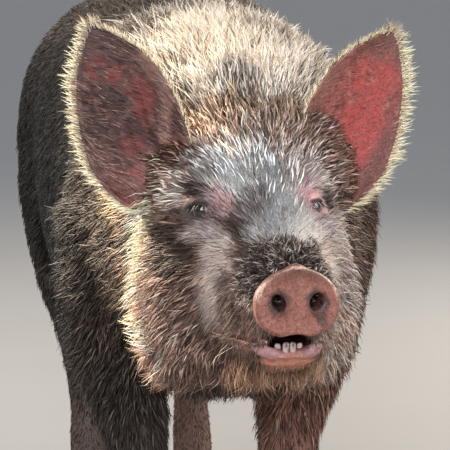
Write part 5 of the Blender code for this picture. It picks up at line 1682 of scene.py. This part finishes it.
# Lashes along the upper lid, hanging over the eye.
rootsList, faces, ways = [], [], []
for side in (1, -1):
    middle, out, along, up = eyeFrame(side)
    for k in range(bristleValues["lashes"]):
        share = (k + random.uniform(-0.3, 0.3)) / (bristleValues["lashes"] - 1)
        turn = math.pi * (0.04 + 0.92 * share)
        a, b = eyeOpening[0] * 1.08 * math.cos(turn), eyeOpening[1] * 1.15 * math.sin(turn)
        bulge = math.sqrt(max((eyeRadius + 0.0014) ** 2 - a * a - b * b, 1e-6))
        p = middle + along * a + up * b + out * bulge
        rootsList.append(tuple(p))
        faces.append(tuple(up))
        way = out * 0.75 - up * random.uniform(0.35, 1.05) + along * (a / eyeOpening[0] * 0.45)
        ways.append(tuple(way.normalized()))
roots, ways = np.array(rootsList), np.array(ways)
n = len(roots)
faces = tangentTo(np.array(faces), ways)
tint = np.where((draw.random(n) < 0.45)[:, None], tone(206, 200, 188), tone(30, 25, 23))
lengths, lifts = draw.uniform(0.0075, 0.0120, n), draw.uniform(-0.15, 0.05, n)
# painted shade: lashes darker at the root
addTufts("bristle", roots, faces, ways, lengths, 0.00085, lifts, tint * 0.6, tint)

# The brush of the tail.
rootsList, faces, ways = [], [], []
for k in range(bristleValues["brush"]):
    share = random.uniform(0.60, 1.0)
    here = tailPoint(share)
    ahead = (tailPoint(min(1.0, share + 0.02)) - tailPoint(share - 0.02)).normalized()
    radial = Vector((random.gauss(0, 1), random.gauss(0, 1), random.gauss(0, 1)))
    radial = (radial - ahead * radial.dot(ahead)).normalized()
    rootsList.append(tuple(here + radial * 0.0035))
    faces.append(tuple(radial))
    ways.append(tuple((ahead + Vector((0, 0.05, -0.35))).normalized()))
roots, faces = np.array(rootsList), np.array(faces)
n = len(roots)
tint = np.clip(tone(150, 120, 96) * np.exp(draw.normal(0, 0.3, n))[:, None], 0, 0.9)
lies = tangentTo(np.array(ways), faces)
lengths, lifts = draw.uniform(0.022, 0.045, n), draw.uniform(0.05, 0.35, n)
# painted shade: brush hairs darker at the root
addTufts("bristle", roots, faces, lies, lengths, 0.0009, lifts, tint * 0.8, tint)


# One atlas for all the coat: each part of the body seen along its six directions, side by side.
print("atlas")
allRoots = np.concatenate([t["roots"] for t in tufts])
allNormals = np.concatenate([t["normals"] for t in tufts])
kinds = np.concatenate([np.full(len(t["roots"]), t["kind"] in ("ear", "fringe")) for t in tufts])
place = inFrame(allRoots, headAt)
region = np.where(place[:, 1] < 0.10, 1, 0)
low = allRoots[:, 2] < 0.33
region = np.where(
    low & (allRoots[:, 1] < 0) & (place[:, 1] > 0.10), np.where(allRoots[:, 0] > 0, 2, 3), region
)
region = np.where(low & (allRoots[:, 1] > 0.3), np.where(allRoots[:, 0] > 0, 4, 5), region)
region = np.where(kinds, np.where(place[:, 0] > 0, 6, 7), region)
region = np.where((allRoots[:, 1] > tailRoot[0] + 0.005) & (np.abs(allRoots[:, 0]) < 0.08), 8, region)
axis = np.abs(allNormals).argmax(axis=1)
sign = np.take_along_axis(allNormals, axis[:, None], axis=1)[:, 0] > 0
chart = region * 6 + axis * 2 + sign
flat = np.stack(
    [
        np.where(axis == 0, allRoots[:, 1], allRoots[:, 0]),
        np.where(axis == 2, allRoots[:, 1], allRoots[:, 2])
    ],
    axis=1
)
boxes = {}
for key in np.unique(chart):
    here = flat[chart == key]
    boxes[key] = (here.min(axis=0), here.max(axis=0) - here.min(axis=0))
order = sorted(boxes, key=lambda key: -boxes[key][1][1])
scale = 1.0
while True:
    scale *= 0.98
    x, y, row, spots, fits = 0.003, 0.003, 0.0, {}, True
    for key in order:
        wide, tall = boxes[key][1] * scale + 0.006
        if x + wide > 0.997:
            x, y, row = 0.003, y + row, 0.0
        spots[key] = (x, y)
        x, row = x + wide, max(row, tall)
        fits = fits and wide < 0.99 and y + tall < 0.997
    if fits:
        break
atlas = np.zeros((len(allRoots), 2))
for key, (x, y) in spots.items():
    use = chart == key
    atlas[use] = (flat[use] - boxes[key][0]) * scale + np.array([x, y]) + 0.003
print("atlas scale", round(scale, 3))


# Meshes of tufts: three sides, a root sunk in the skin, a bend for the longer ones and a fine tip.
def tuftMesh(name, part, uvs, shift):
    n = len(part["roots"])
    up, way = part["normals"], part["lies"]
    across = np.cross(up, way)
    length, width, lift = part["lengths"][:, None], part["widths"][:, None], part["lifts"][:, None]
    sink = up * (0.0006 + 0.25 * width)
    bend = across * (part["bends"][:, None] * length)
    if part["bent"]:
        levels = ((0.0, 0.0, 0.0, 0.85), (0.42, 0.70, 0.18, 1.0))
        tip = part["roots"] + way * length + up * (length * lift) + bend
    else:
        levels = ((0.0, 0.0, 0.0, 1.0),)
        tip = part["roots"] + way * length + up * (length * lift * 0.75) + bend * 0.6
    rings = []
    for run, rise, drift, size in levels:
        middle = part["roots"] + way * (length * run) + up * (length * lift * rise) + bend * drift
        if run == 0.0:
            middle = middle - sink
        half = across * (width * 0.5 * size)
        ridge = up * (width * 0.32 * size)
        rings += [middle + half, middle + ridge, middle - half]
    vertices = np.stack(rings + [tip], axis=1) + np.array(shift)
    each = vertices.shape[1]
    faces = []
    if part["bent"]:
        for i in range(3):
            j = (i + 1) % 3
            faces += [(i, j, 3 + j), (i, 3 + j, 3 + i), (3 + i, 3 + j, 6)]
    else:
        faces = [(0, 1, 3), (1, 2, 3), (2, 0, 3)]
    faces = np.array(faces)
    corners = (faces[None] + (np.arange(n) * each)[:, None, None]).reshape(-1)
    mesh = bpy.data.meshes.new(name)
    mesh.vertices.add(n * each)
    mesh.vertices.foreach_set("co", vertices.astype(np.float32).ravel())
    mesh.loops.add(len(corners))
    mesh.loops.foreach_set("vertex_index", corners.astype(np.int32))
    count = len(corners) // 3
    mesh.polygons.add(count)
    mesh.polygons.foreach_set("loop_start", np.arange(count, dtype=np.int32) * 3)
    mesh.polygons.foreach_set("loop_total", np.full(count, 3, np.int32))
    mesh.polygons.foreach_set("use_smooth", np.ones(count, bool))
    mesh.update(calc_edges=True)
    # the colour runs from the root, with its painted shade, to the tip
    share = np.array([0.0, 0.0, 0.0, 0.42, 0.42, 0.42, 1.0] if part["bent"] else [0.0, 0.0, 0.0, 1.0])
    tint = blend(part["rootTints"][:, None], part["tipTints"][:, None], share[None, :, None])
    layer = mesh.color_attributes.new("tint", "FLOAT_COLOR", "POINT")
    full = np.concatenate([tint, np.ones((n, each, 1))], axis=2)
    layer.data.foreach_set("color", full.astype(np.float32).ravel())
    upperRow = [(-1, 0), (0, 0), (1, 0)] if part["bent"] else []
    patch = np.array([(-1, -1), (0, -1), (1, -1)] + upperRow + [(0, 1)]) * 0.0015
    spread = (uvs[:, None] + patch[None]).reshape(-1, 2)
    uvMap = mesh.uv_layers.new(name="OFBake")
    uvMap.data.foreach_set("uv", spread[corners].astype(np.float32).ravel())
    return mesh


print("tufts")
homeEyes = sum((headAt @ mirrored(eyeAt, side) for side in (1, -1)), Vector()) / 2
cadEyes = [sum((Vector(c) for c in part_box(name)), Vector()) / 2 for name in ("eye_left", "eye_right")]
shift = (cadEyes[0] + cadEyes[1]) / 2 - homeEyes
print("shift", tuple(round(v, 4) for v in shift))
pieceLimit = 190000
coatPieces = []
start = 0
for part in tufts:
    n = len(part["roots"])
    uvs = atlas[start:start + n]
    start += n
    each = 9 if part["bent"] else 3
    pieces = max(1, math.ceil(n * each / pieceLimit))
    rank = np.argsort(np.argsort(part["roots"][:, 1], kind="stable"), kind="stable")
    group = rank * pieces // n
    for k in range(pieces):
        use = group == k
        one = {
            key: (value[use] if isinstance(value, np.ndarray) else value) for key, value in part.items()
        }
        name = "coat" + part["kind"].capitalize() + str(len(coatPieces) + 1)
        coatPieces.append((part["kind"], newObject(name, tuftMesh(name, one, uvs[use], shift))))
total = sum(len(obj.data.polygons) for _, obj in coatPieces)
print("coat triangles", total, "pieces", len(coatPieces))


# Colours of the skin: the markings under the coat, darkened under the coat as painted shade, with the bare
# places on top.
print("skin colours")
bareTints = {
    "discFace": (126, 76, 63), "discTop": (76, 53, 42), "discPale": (140, 94, 82),
    # mouth: the painted shade inside the mouth
    "lip": (150, 112, 112), "chin": (168, 108, 88), "mouth": (58, 24, 22),
    # nostril: the painted shade inside the nostril holes
    "nostril": (18, 9, 8), "nostrilRound": (54, 32, 27),
    "lidRight": (60, 50, 48), "lidLeft": (196, 150, 150), "lidLine": (34, 25, 24),
    "innerCorner": (206, 130, 130),
    # the left ear's inside is partly its own pink and partly painted light shining through it
    "earRight": (70, 45, 42), "earLeft": (134, 64, 58), "earBack": (150, 118, 106),
    "earLobe": (128, 78, 74),
}
points, normals = readPoints(skin.data), readNormals(skin.data)
hair, tint = markColours(points)
at = inFrame(points, headAt)
part = partAt(points)
# painted shade: the skin darker where the coat covers it
tint *= (1 - 0.30 * (1 - bareAt(points)) * (part == 0))[:, None]


def paint(mask, colour):
    tint[:] += (tone(*colour) - tint) * np.clip(mask, 0, 1)[:, None]


for number, side, inside in ((1, 1, "earLeft"), (2, -1, "earRight")):
    base, along, across, facing = (np.array(v) for v in earFrame(side))
    on = part == number
    inner = smoothStep(-0.1, 0.35, normals @ facing) * on
    paint(on.astype(float), bareTints["earBack"])
    paint(inner, bareTints[inside])
    run, out = (points - base) @ along, (points - base) @ across
    plane = np.stack([run, out], axis=1)
    lobe = smoothStep(0.022, -0.012, run) * inner
    paint(lobe * 0.85, bareTints["earLobe"])
    paint(
        inner * smoothStep(0.52, 0.68, cloud(points, 0.0040, 2, 8.8)) * 0.45,
        (176, 120, 108) if side == 1 else (128, 98, 90)
    )
    paint(
        inner * smoothStep(0.48, 0.34, cloud(points, 0.0040, 2, 8.8)) * 0.45,
        (60, 30, 28) if side == 1 else (30, 22, 21)
    )
    # how far into the painted red of light shining through the ear
    red = smoothStep(1.25, 0.55, nearPath(plane, earGlowPaths[side][0]) / earGlowPaths[side][1]) * inner
    if side == -1:
        paint(smoothStep(0.105, 0.130, run) * inner * 0.8, (74, 54, 53))
        # painted light: red where light shines through the ear
        paint(red * smoothStep(0.34, 0.56, cloud(points, 0.016, 3, 1.7)) * 0.80, (112, 49, 46))
        paint(lobe * smoothStep(0.45, 0.62, cloud(points, 0.020, 2, 4.4)) * 0.6, (146, 74, 72))
        for spot, radius in (
            ((0.078, 0.016), 0.015), ((0.042, 0.010), 0.010), ((0.021, -0.001), 0.009),
            ((0.060, 0.046), 0.016)
        ):
            away = np.linalg.norm(plane - np.array(spot), axis=1) / radius
            away = away + (cloud(points, 0.010, 2, 6.1) - 0.5) * 1.2
            paint(smoothStep(1.25, 0.7, away) * inner * 0.75, (38, 27, 26))
        path = ((0.105, -0.034), (0.074, -0.040), (0.055, -0.040), (0.029, -0.024), (0.010, -0.014))
        band = smoothStep(0.0085, 0.0045, nearPath(plane, path))
        paint(band * inner * 0.8, (138, 104, 94))
    else:
        paint(smoothStep(0.108, 0.132, run) * inner * 0.8, (102, 68, 62))
        # painted light: red where light shines through the ear
        paint(red * smoothStep(0.26, 0.52, cloud(points, 0.024, 3, 3.7)) * 0.9, (156, 57, 55))
        paint(smoothStep(0.044, 0.056, out) * inner * 0.75, (98, 66, 62))
        paint(smoothStep(-0.022, -0.038, out) * inner * 0.8, (150, 108, 96))
lips = np.hypot(
    (at[:, 0] - mouthShift) / (mouthHalf + 0.010),
    (at[:, 2] - mouthFront[1] + 0.004) / (mouthRise + 0.0065)
)
paint(
    smoothStep(1.15, 0.85, lips) * (at[:, 1] < -0.09) * (at[:, 2] < mouthFront[1] + 0.0008),
    bareTints["lip"]
)
paint(
    smoothStep(1.35, 1.05, lips) * (at[:, 1] < -0.09) * (at[:, 2] < mouthFront[1]) * 0.5,
    bareTints["lip"]
)
freckles = smoothStep(0.52, 0.64, cloud(points, 0.004, 2, 3.3))
freckles = freckles * smoothStep(1.7, 1.2, lips) * smoothStep(0.75, 1.0, lips)
paint(freckles * (at[:, 1] < -0.09) * 0.7, (70, 50, 46))
chin = fromSpot(at, (0.000, -0.145, -0.141), (0.034, 0.036, 0.0165))
paint(smoothStep(1.2, 0.8, chin) * smoothStep(-0.1335, -0.1365, at[:, 2]) * 0.9, bareTints["chin"])
wedge = fromSpot(at, (0.000, -0.138, -0.155), (0.019, 0.034, 0.015))
paint(smoothStep(1.2, 0.8, wedge) * 0.85, (150, 98, 78))
lowerLip = smoothStep(1.1, 0.6, np.hypot((at[:, 0] + 0.001) / 0.018, (at[:, 2] + 0.1305) / 0.0045))
paint(lowerLip * (at[:, 1] < -0.12) * 0.8, (178, 138, 132))
lipLine = smoothStep(0.0022, 0.0010, np.abs(at[:, 2] - mouthFront[1]))
paint(lipLine * (at[:, 1] < mouthCorner[0]) * (at[:, 1] > -0.152) * 0.75, (70, 44, 42))
lens = np.hypot(
    (at[:, 0] - mouthShift) / (mouthHalf + 0.0005), (at[:, 2] - mouthFront[1]) / (mouthRise + 0.0005)
)
# painted shade: the inside of the mouth dark
deep = smoothStep(-0.150, -0.141, at[:, 1]) * (lens < 1.02)
paint(deep, bareTints["mouth"])
disc = inFrame(points, discMatrix())
outline = np.hypot(disc[:, 0] / discHalf.x, disc[:, 2] / discHalf.z)
onDisc = smoothStep(1.16, 1.10, outline) * smoothStep(0.001, -0.001, disc[:, 1])
paint(onDisc, bareTints["discFace"])
paint(onDisc * smoothStep(0.012, 0.034, disc[:, 2]) * 0.75, bareTints["discTop"])
paint(onDisc * smoothStep(0.55, 0.80, cloud(disc, 0.030, 2, 9.1)) * 0.55, bareTints["discPale"])
paint(
    onDisc * smoothStep(0.0035, 0.0, np.abs(disc[:, 0])) * smoothStep(0.0, -0.03, disc[:, 2]) * 0.35,
    (150, 80, 66)
)
edge = smoothStep(-0.0185, -0.0150, disc[:, 1]) * smoothStep(0.86, 0.93, outline)
paint(onDisc * edge * 0.75, (150, 104, 88))
# painted highlight: a pale band along the upper rim of the disc's face
rim = smoothStep(-0.0165, -0.0195, disc[:, 1]) * smoothStep(0.86, 0.91, outline)
rim = rim * smoothStep(0.99, 0.95, outline) * smoothStep(-0.005, 0.012, disc[:, 2])
paint(onDisc * rim * 0.85, (196, 162, 144))
for side in (1, -1):
    away = np.hypot(
        (disc[:, 0] - side * nostrilAt[0]) / nostril[0], (disc[:, 2] - nostrilAt[1]) / nostril[1]
    )
    inHole = away
    away = away + (cloud(disc, 0.004, 2, 2.0 + side) - 0.5) * 1.1
    paint(onDisc * smoothStep(2.10, 1.50, away) * 0.90, bareTints["nostrilRound"])
    paint(onDisc * smoothStep(1.62, 1.25, away) * 0.85, (30, 18, 16))
    # painted shade: the inside of each nostril hole near black
    paint(
        onDisc * smoothStep(1.22, 1.0, inHole) * smoothStep(-0.0195, -0.0165, disc[:, 1]),
        bareTints["nostril"]
    )
smear = np.hypot(
    (disc[:, 0] - 0.0235 + 0.25 * (disc[:, 2] + 0.015)) / 0.0062, (disc[:, 2] + 0.0155) / 0.0120
)
smear += (cloud(disc, 0.004, 2, 7.7) - 0.5) * 0.9
paint(onDisc * smoothStep(1.25, 0.7, smear) * 0.88, (50, 32, 28))
for side, name in ((1, "lidLeft"), (-1, "lidRight")):
    middle, out, along, up = (np.array(v) for v in eyeFrame(side))
    d = points - middle
    a, b = d @ along / eyeOpening[0], d @ up / eyeOpening[1]
    ring = np.hypot(a, b)
    near = (np.linalg.norm(d, axis=1) < 0.030) & (d @ out > 0)
    paint(smoothStep(2.4, 1.3, ring) * near * (0.95 if side == -1 else 0.8), bareTints[name])
    edgeOf = np.hypot(a / 1.10, b / 1.16)
    line = smoothStep(0.42, 0.10, np.abs(edgeOf - 1.04)) * smoothStep(-0.45, 0.15, b)
    paint(line * near * 0.95, bareTints["lidLine"])
    lower = smoothStep(0.30, 0.08, np.abs(edgeOf - 1.02)) * smoothStep(0.1, -0.4, b)
    paint(lower * near * (0.75 if side == -1 else 0.35), (60, 46, 44))
    corner = np.linalg.norm(d - (out * eyeRadius * 0.55 - along * eyeOpening[0] * 1.05), axis=1)
    paint(smoothStep(0.0062, 0.0032, corner) * near * 0.9, bareTints["innerCorner"])
layer = skin.data.color_attributes.new("tint", "FLOAT_COLOR", "POINT")
full = np.concatenate([tint, np.ones((len(tint), 1))], axis=1)
layer.data.foreach_set("color", full.astype(np.float32).ravel())
wetness = np.clip(onDisc * 0.7 + deep + (lips < 1.0) * (at[:, 1] < -0.1) * 0.6, 0, 1)
leftInside = (part == 1) & (normals @ np.array(earFrame(1)[3]) > 0)
speckled = onDisc * (1 - edge) + 0.85 * leftInside + 0.5 * (chin < 1.1) + 0.4 * (part == 2)
speckled = np.clip(speckled, 0, 1)
for label, values in (("wet", wetness), ("speckled", speckled)):
    layer = skin.data.attributes.new(label, "FLOAT", "POINT")
    layer.data.foreach_set("value", values.astype(np.float32))
for obj in (skin, teeth, hooves, dewclaws, *eyeballs.values()):
    obj.data.transform(Matrix.Translation(shift))


# Materials
print("materials")


# Gives a node's inputs their values, or the outputs that feed them.
def feed(tree, node, inputs):
    for label, value in inputs.items():
        if isinstance(value, bpy.types.NodeSocket):
            tree.links.new(value, node.inputs[label])
        else:
            node.inputs[label].default_value = value


def addNode(tree, kind, inputs, **options):
    made = tree.nodes.new("ShaderNode" + kind)
    for label, value in options.items():
        setattr(made, label, value)
    feed(tree, made, inputs)
    return made.outputs


def nodeGroup(name, inputs, outputs):
    group = bpy.data.node_groups.new(name, "ShaderNodeTree")
    for label, value in inputs.items():
        kind = "NodeSocketColor" if isinstance(value, tuple) else "NodeSocketFloat"
        group.interface.new_socket(label, in_out="INPUT", socket_type=kind).default_value = value
    for label, kind in outputs.items():
        group.interface.new_socket(label, in_out="OUTPUT", socket_type=kind)
    return group, group.nodes.new("NodeGroupInput").outputs, group.nodes.new("NodeGroupOutput")


def noiseAt(tree, size, detail, roughness):
    where = addNode(tree, "TexCoord", {})["Object"]
    inputs = {"Vector": where, "Scale": size, "Detail": detail, "Roughness": roughness}
    return addNode(tree, "TexNoise", inputs)["Fac"]


def mixed(tree, share, first, second):
    return addNode(tree, "Mix", {"Factor": share, "A": first, "B": second}, data_type="RGBA")["Result"]


def maths(tree, operation, first, second):
    return addNode(tree, "Math", {0: first, 1: second}, operation=operation)["Value"]


# Fine mottling of a colour and the matching bump.
def grainGroup():
    group, given, out = nodeGroup(
        "grain",
        {"Colour": (0.5, 0.5, 0.5, 1), "Size": 400.0, "Amount": 0.3, "Bump": 0.3, "Depth": 0.0004},
        {"Colour": "NodeSocketColor", "Normal": "NodeSocketVector"},
    )
    noise = noiseAt(group, given["Size"], 4.0, 0.62)
    levels = {"Value": noise, "From Min": 0.3, "From Max": 0.7, "To Min": 0.35, "To Max": 1.35}
    spread = addNode(group, "MapRange", levels)["Result"]
    scaled = addNode(group, "VectorMath", {0: given["Colour"], "Scale": spread}, operation="SCALE")
    bump = {"Strength": given["Bump"], "Distance": given["Depth"], "Height": noise}
    feed(group, out, {
        "Colour": mixed(group, given["Amount"], given["Colour"], scaled["Vector"]),
        "Normal": addNode(group, "Bump", bump)["Normal"],
    })
    return group


# Small dark spots over a colour, where the mask says, and their depth for a bump.
def speckleGroup():
    group, given, out = nodeGroup(
        "speckle",
        {
            "Colour": (0.5, 0.5, 0.5, 1), "Spots": (0.1, 0.05, 0.04, 1), "Size": 500.0, "Share": 0.45,
            "Mask": 1.0
        },
        {"Colour": "NodeSocketColor", "Depth": "NodeSocketFloat"},
    )
    noise = noiseAt(group, given["Size"], 2.0, 0.5)
    above = maths(group, "SUBTRACT", noise, maths(group, "SUBTRACT", 1.0, given["Share"]))
    sharp = addNode(group, "MapRange", {"Value": above, "From Min": -0.02, "From Max": 0.08})["Result"]
    masked = maths(group, "MULTIPLY", sharp, given["Mask"])
    feed(group, out, {"Colour": mixed(group, masked, given["Colour"], given["Spots"]), "Depth": masked})
    return group


grain, speckle = grainGroup(), speckleGroup()


def grained(tree, **inputs):
    return addNode(tree, "Group", inputs, node_tree=grain)


def plainMaterial(name, roughness, **sockets):
    made = bpy.data.materials.new(name)
    made.use_nodes = True
    shader = made.node_tree.nodes["Principled BSDF"]
    feed(made.node_tree, shader, {"Roughness": roughness})
    feed(made.node_tree, shader, {label.replace("_", " "): value for label, value in sockets.items()})
    return made, made.node_tree, shader


def attribute(tree, name, output="Fac"):
    return addNode(tree, "Attribute", {}, attribute_name=name)[output]


skinLook, tree, shader = plainMaterial(
    "skinLook", 0.52, Subsurface_Weight=0.10, Subsurface_Scale=0.004, Specular_IOR_Level=0.35
)
skinSpots = (
    (560.0, 0.50, 0.62, (0.10, 0.036, 0.026, 1)),
    (330.0, 0.43, 0.66, (0.07, 0.024, 0.020, 1)),
)
mask = attribute(tree, "speckled")
last = attribute(tree, "tint", "Color")
depths = []
for size, share, strength, colour in skinSpots:
    faded = maths(tree, "MULTIPLY", mask, strength)
    inputs = {"Size": size, "Share": share, "Spots": colour, "Mask": faded, "Colour": last}
    spots = addNode(tree, "Group", inputs, node_tree=speckle)
    last = spots["Colour"]
    depths.append(spots["Depth"])
mottle = grained(tree, Size=260.0, Amount=0.45, Bump=0.55, Depth=0.0012, Colour=last)
pores = {"Strength": 0.45, "Distance": 0.0008, "Height": depths[0], "Normal": mottle["Normal"]}
wet = {"To Min": 0.62, "To Max": 0.34, "Value": attribute(tree, "wet")}
feed(tree, shader, {
    "Base Color": mottle["Colour"],
    "Normal": addNode(tree, "Bump", pores, invert=True)["Normal"],
    "Roughness": addNode(tree, "MapRange", wet)["Result"],
})
skin.data.materials.clear()
skin.data.materials.append(skinLook)

coatLook, tree, shader = plainMaterial("coatLook", 0.60, Specular_IOR_Level=0.12)
strand = grained(
    tree, Size=900.0, Amount=0.30, Bump=0.10, Depth=0.0002, Colour=attribute(tree, "tint", "Color")
)
feed(tree, shader, {"Base Color": strand["Colour"], "Normal": strand["Normal"]})
for _, obj in coatPieces:
    obj.data.materials.append(coatLook)

eyeLook, tree, shader = plainMaterial("eyeLook", 0.10, Coat_Weight=1.0, Coat_Roughness=0.02, IOR=1.40)
ramp = tree.nodes.new("ShaderNodeValToRGB")
ramp.color_ramp.elements[0].position = 0.0
ramp.color_ramp.elements[0].color = (0.030, 0.030, 0.030, 1)
ramp.color_ramp.elements[1].position = 1.0
ramp.color_ramp.elements[1].color = (0.34, 0.27, 0.23, 1)
for position, colour in (
    (0.30, (0.024, 0.026, 0.026, 1)),
    (0.44, (0.050, 0.044, 0.036, 1)),
    (0.50, (0.016, 0.013, 0.012, 1)),
    (0.58, (0.26, 0.235, 0.21, 1)),
):
    ramp.color_ramp.elements.new(position).color = colour
feed(tree, ramp, {"Fac": attribute(tree, "fromGaze")})
levels = {
    "From Min": eyeValues["pupil"] - 0.02, "From Max": eyeValues["pupil"] + 0.02,
    "Value": attribute(tree, "fromPupil"),
}
pupil = addNode(tree, "MapRange", levels)["Result"]
dark = mixed(tree, pupil, (0.004, 0.003, 0.003, 1), ramp.outputs["Color"])
feed(
    tree, shader,
    {"Base Color": grained(tree, Size=1400.0, Amount=0.5, Bump=0.0, Colour=dark)["Colour"]}
)
for obj in eyeballs.values():
    obj.data.materials.append(eyeLook)

toothLook, tree, shader = plainMaterial("toothLook", 0.30, Coat_Weight=0.3)
stain = grained(tree, Colour=(0.34, 0.265, 0.245, 1), Size=420.0, Amount=0.75, Bump=0.2)
dentine = mixed(tree, attribute(tree, "core"), stain["Colour"], (0.115, 0.045, 0.025, 1))
feed(tree, shader, {"Base Color": dentine, "Normal": stain["Normal"]})
teeth.data.materials.append(toothLook)

hornLook, tree, shader = plainMaterial("hornLook", 0.48)
horn = grained(tree, Colour=(0.060, 0.044, 0.036, 1), Size=160.0, Amount=0.8, Bump=0.5, Depth=0.0010)
feed(tree, shader, {"Base Color": horn["Colour"], "Normal": horn["Normal"]})
for obj in (hooves, dewclaws):
    obj.data.materials.append(hornLook)


# The pieces ride on the one body and stand for their nodes.
flesh = ["head", "lower_jaw", "snout_disc", "neck", "torso", "tail", "ear_left", "ear_right"]
flesh += [f"{kind}leg_{hand}" for kind in ("fore", "hind") for hand in ("left", "right")]
toes = [
    f"{kind}_{hand}_{which}"
    for kind in ("fore", "hind") for hand in ("left", "right") for which in ("inner", "outer")
]
for obj, slotName, names in (
    (skin, "coat", flesh),
    (teeth, "horn", []),
    (hooves, "horn", ["hoof_" + toe for toe in toes]),
    (dewclaws, "horn", ["dewclaw_" + toe for toe in toes]),
    (eyeballs[1], "eye", ["eye_left"]),
    (eyeballs[-1], "eye", ["eye_right"]),
    *((obj, "coat", []) for _, obj in coatPieces),
):
    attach(obj, "root")
    if names:
        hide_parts(*names)


# A plain pale floor and studio light: a broad cool key, a fill, two warm lights from behind and a
# narrow warm spot along one cheek.
print("studio")
studioValues = {
    "key": 122.0, "fill": 54.0, "rim": 55.0, "rimRight": 85.0, "back": 1750.0, "backAngle": 11.0,
    "world": 0.62,
}
bm = bmesh.new()
bmesh.ops.create_grid(bm, x_segments=8, y_segments=8, size=14.0)
bmesh.ops.translate(bm, vec=(0, 8, 0), verts=bm.verts)
mesh = bpy.data.meshes.new("floor")
bm.to_mesh(mesh)
bm.free()
floor = newObject("floor", mesh)
floorLook, tree, shader = plainMaterial("floorLook", 0.75)
pale = grained(tree, Colour=(0.40, 0.39, 0.38, 1), Size=3.0, Amount=0.03, Bump=0.0)
feed(tree, shader, {"Base Color": pale["Colour"]})
floor.data.materials.append(floorLook)


def addLight(name, kind, spot, target, power, colour):
    light = bpy.data.lights.new(name, kind)
    light.energy = power
    light.color = colour
    obj = bpy.data.objects.new(name, light)
    obj.location = spot
    obj.rotation_mode = "QUATERNION"
    obj.rotation_quaternion = (Vector(target) - Vector(spot)).to_track_quat("-Z", "Y")
    bpy.context.scene.collection.objects.link(obj)
    return light


for name, spot, target, size, colour in (
    ("key", (-1.1, -2.9, 1.7), (0, -0.4, 0.5), 1.7, (0.93, 0.96, 1.0)),
    ("fill", (2.4, -2.0, 1.2), (0, -0.3, 0.5), 2.2, (1.0, 0.97, 0.94)),
    ("rim", (-2.3, 1.9, 1.5), (0, -0.40, 0.6), 0.9, (1.0, 0.88, 0.72)),
    ("rimRight", (2.3, 1.7, 1.7), (0.1, -0.4, 0.6), 0.9, (1.0, 0.90, 0.76)),
):
    addLight(name, "AREA", spot, target, studioValues[name], colour).size = size
spot, target = (-1.6, 1.75, 1.80), (-0.12, -0.49, 0.52)
backSpot = addLight("backSpot", "SPOT", spot, target, studioValues["back"], (1.0, 0.86, 0.66))
backSpot.shadow_soft_size = 0.12
backSpot.spot_size = math.radians(studioValues["backAngle"])
backSpot.spot_blend = 0.9
bpy.context.scene.view_settings.view_transform = "Standard"
world = bpy.data.worlds.new("studio")
bpy.context.scene.world = world
world.use_nodes = True
sky = {"Color": (0.72, 0.76, 0.82, 1), "Strength": studioValues["world"]}
feed(world.node_tree, world.node_tree.nodes["Background"], sky)

# The camera: its distance, angles and focal length give the photo's framing at 450 by 450.
cameraValues = {
    "focal": 2546.0, "yaw": 9.0, "pitch": 8.0, "distance": 2.7, "eyeX": 256.0, "eyeY": 208.0
}
pixels = 450
focal, distance = cameraValues["focal"], cameraValues["distance"]
yaw, pitch = math.radians(cameraValues["yaw"]), math.radians(cameraValues["pitch"])
camera = bpy.data.objects.new("camera", bpy.data.cameras.new("camera"))
bpy.context.scene.collection.objects.link(camera)
look = Vector((math.sin(yaw) * math.cos(pitch), math.cos(yaw) * math.cos(pitch), -math.sin(pitch)))
rightward = Vector((math.cos(yaw), -math.sin(yaw), 0))
upward = rightward.cross(look)
across = (cameraValues["eyeX"] - pixels / 2) * distance / focal
down = (cameraValues["eyeY"] - pixels / 2) * distance / focal
camera.location = eyeMiddle + shift - look * distance - rightward * across + upward * down
camera.rotation_mode = "QUATERNION"
camera.rotation_quaternion = look.to_track_quat("-Z", "Y")
camera.data.sensor_width = 36
camera.data.lens = focal / pixels * 36
bpy.context.scene.camera = camera

print("done")
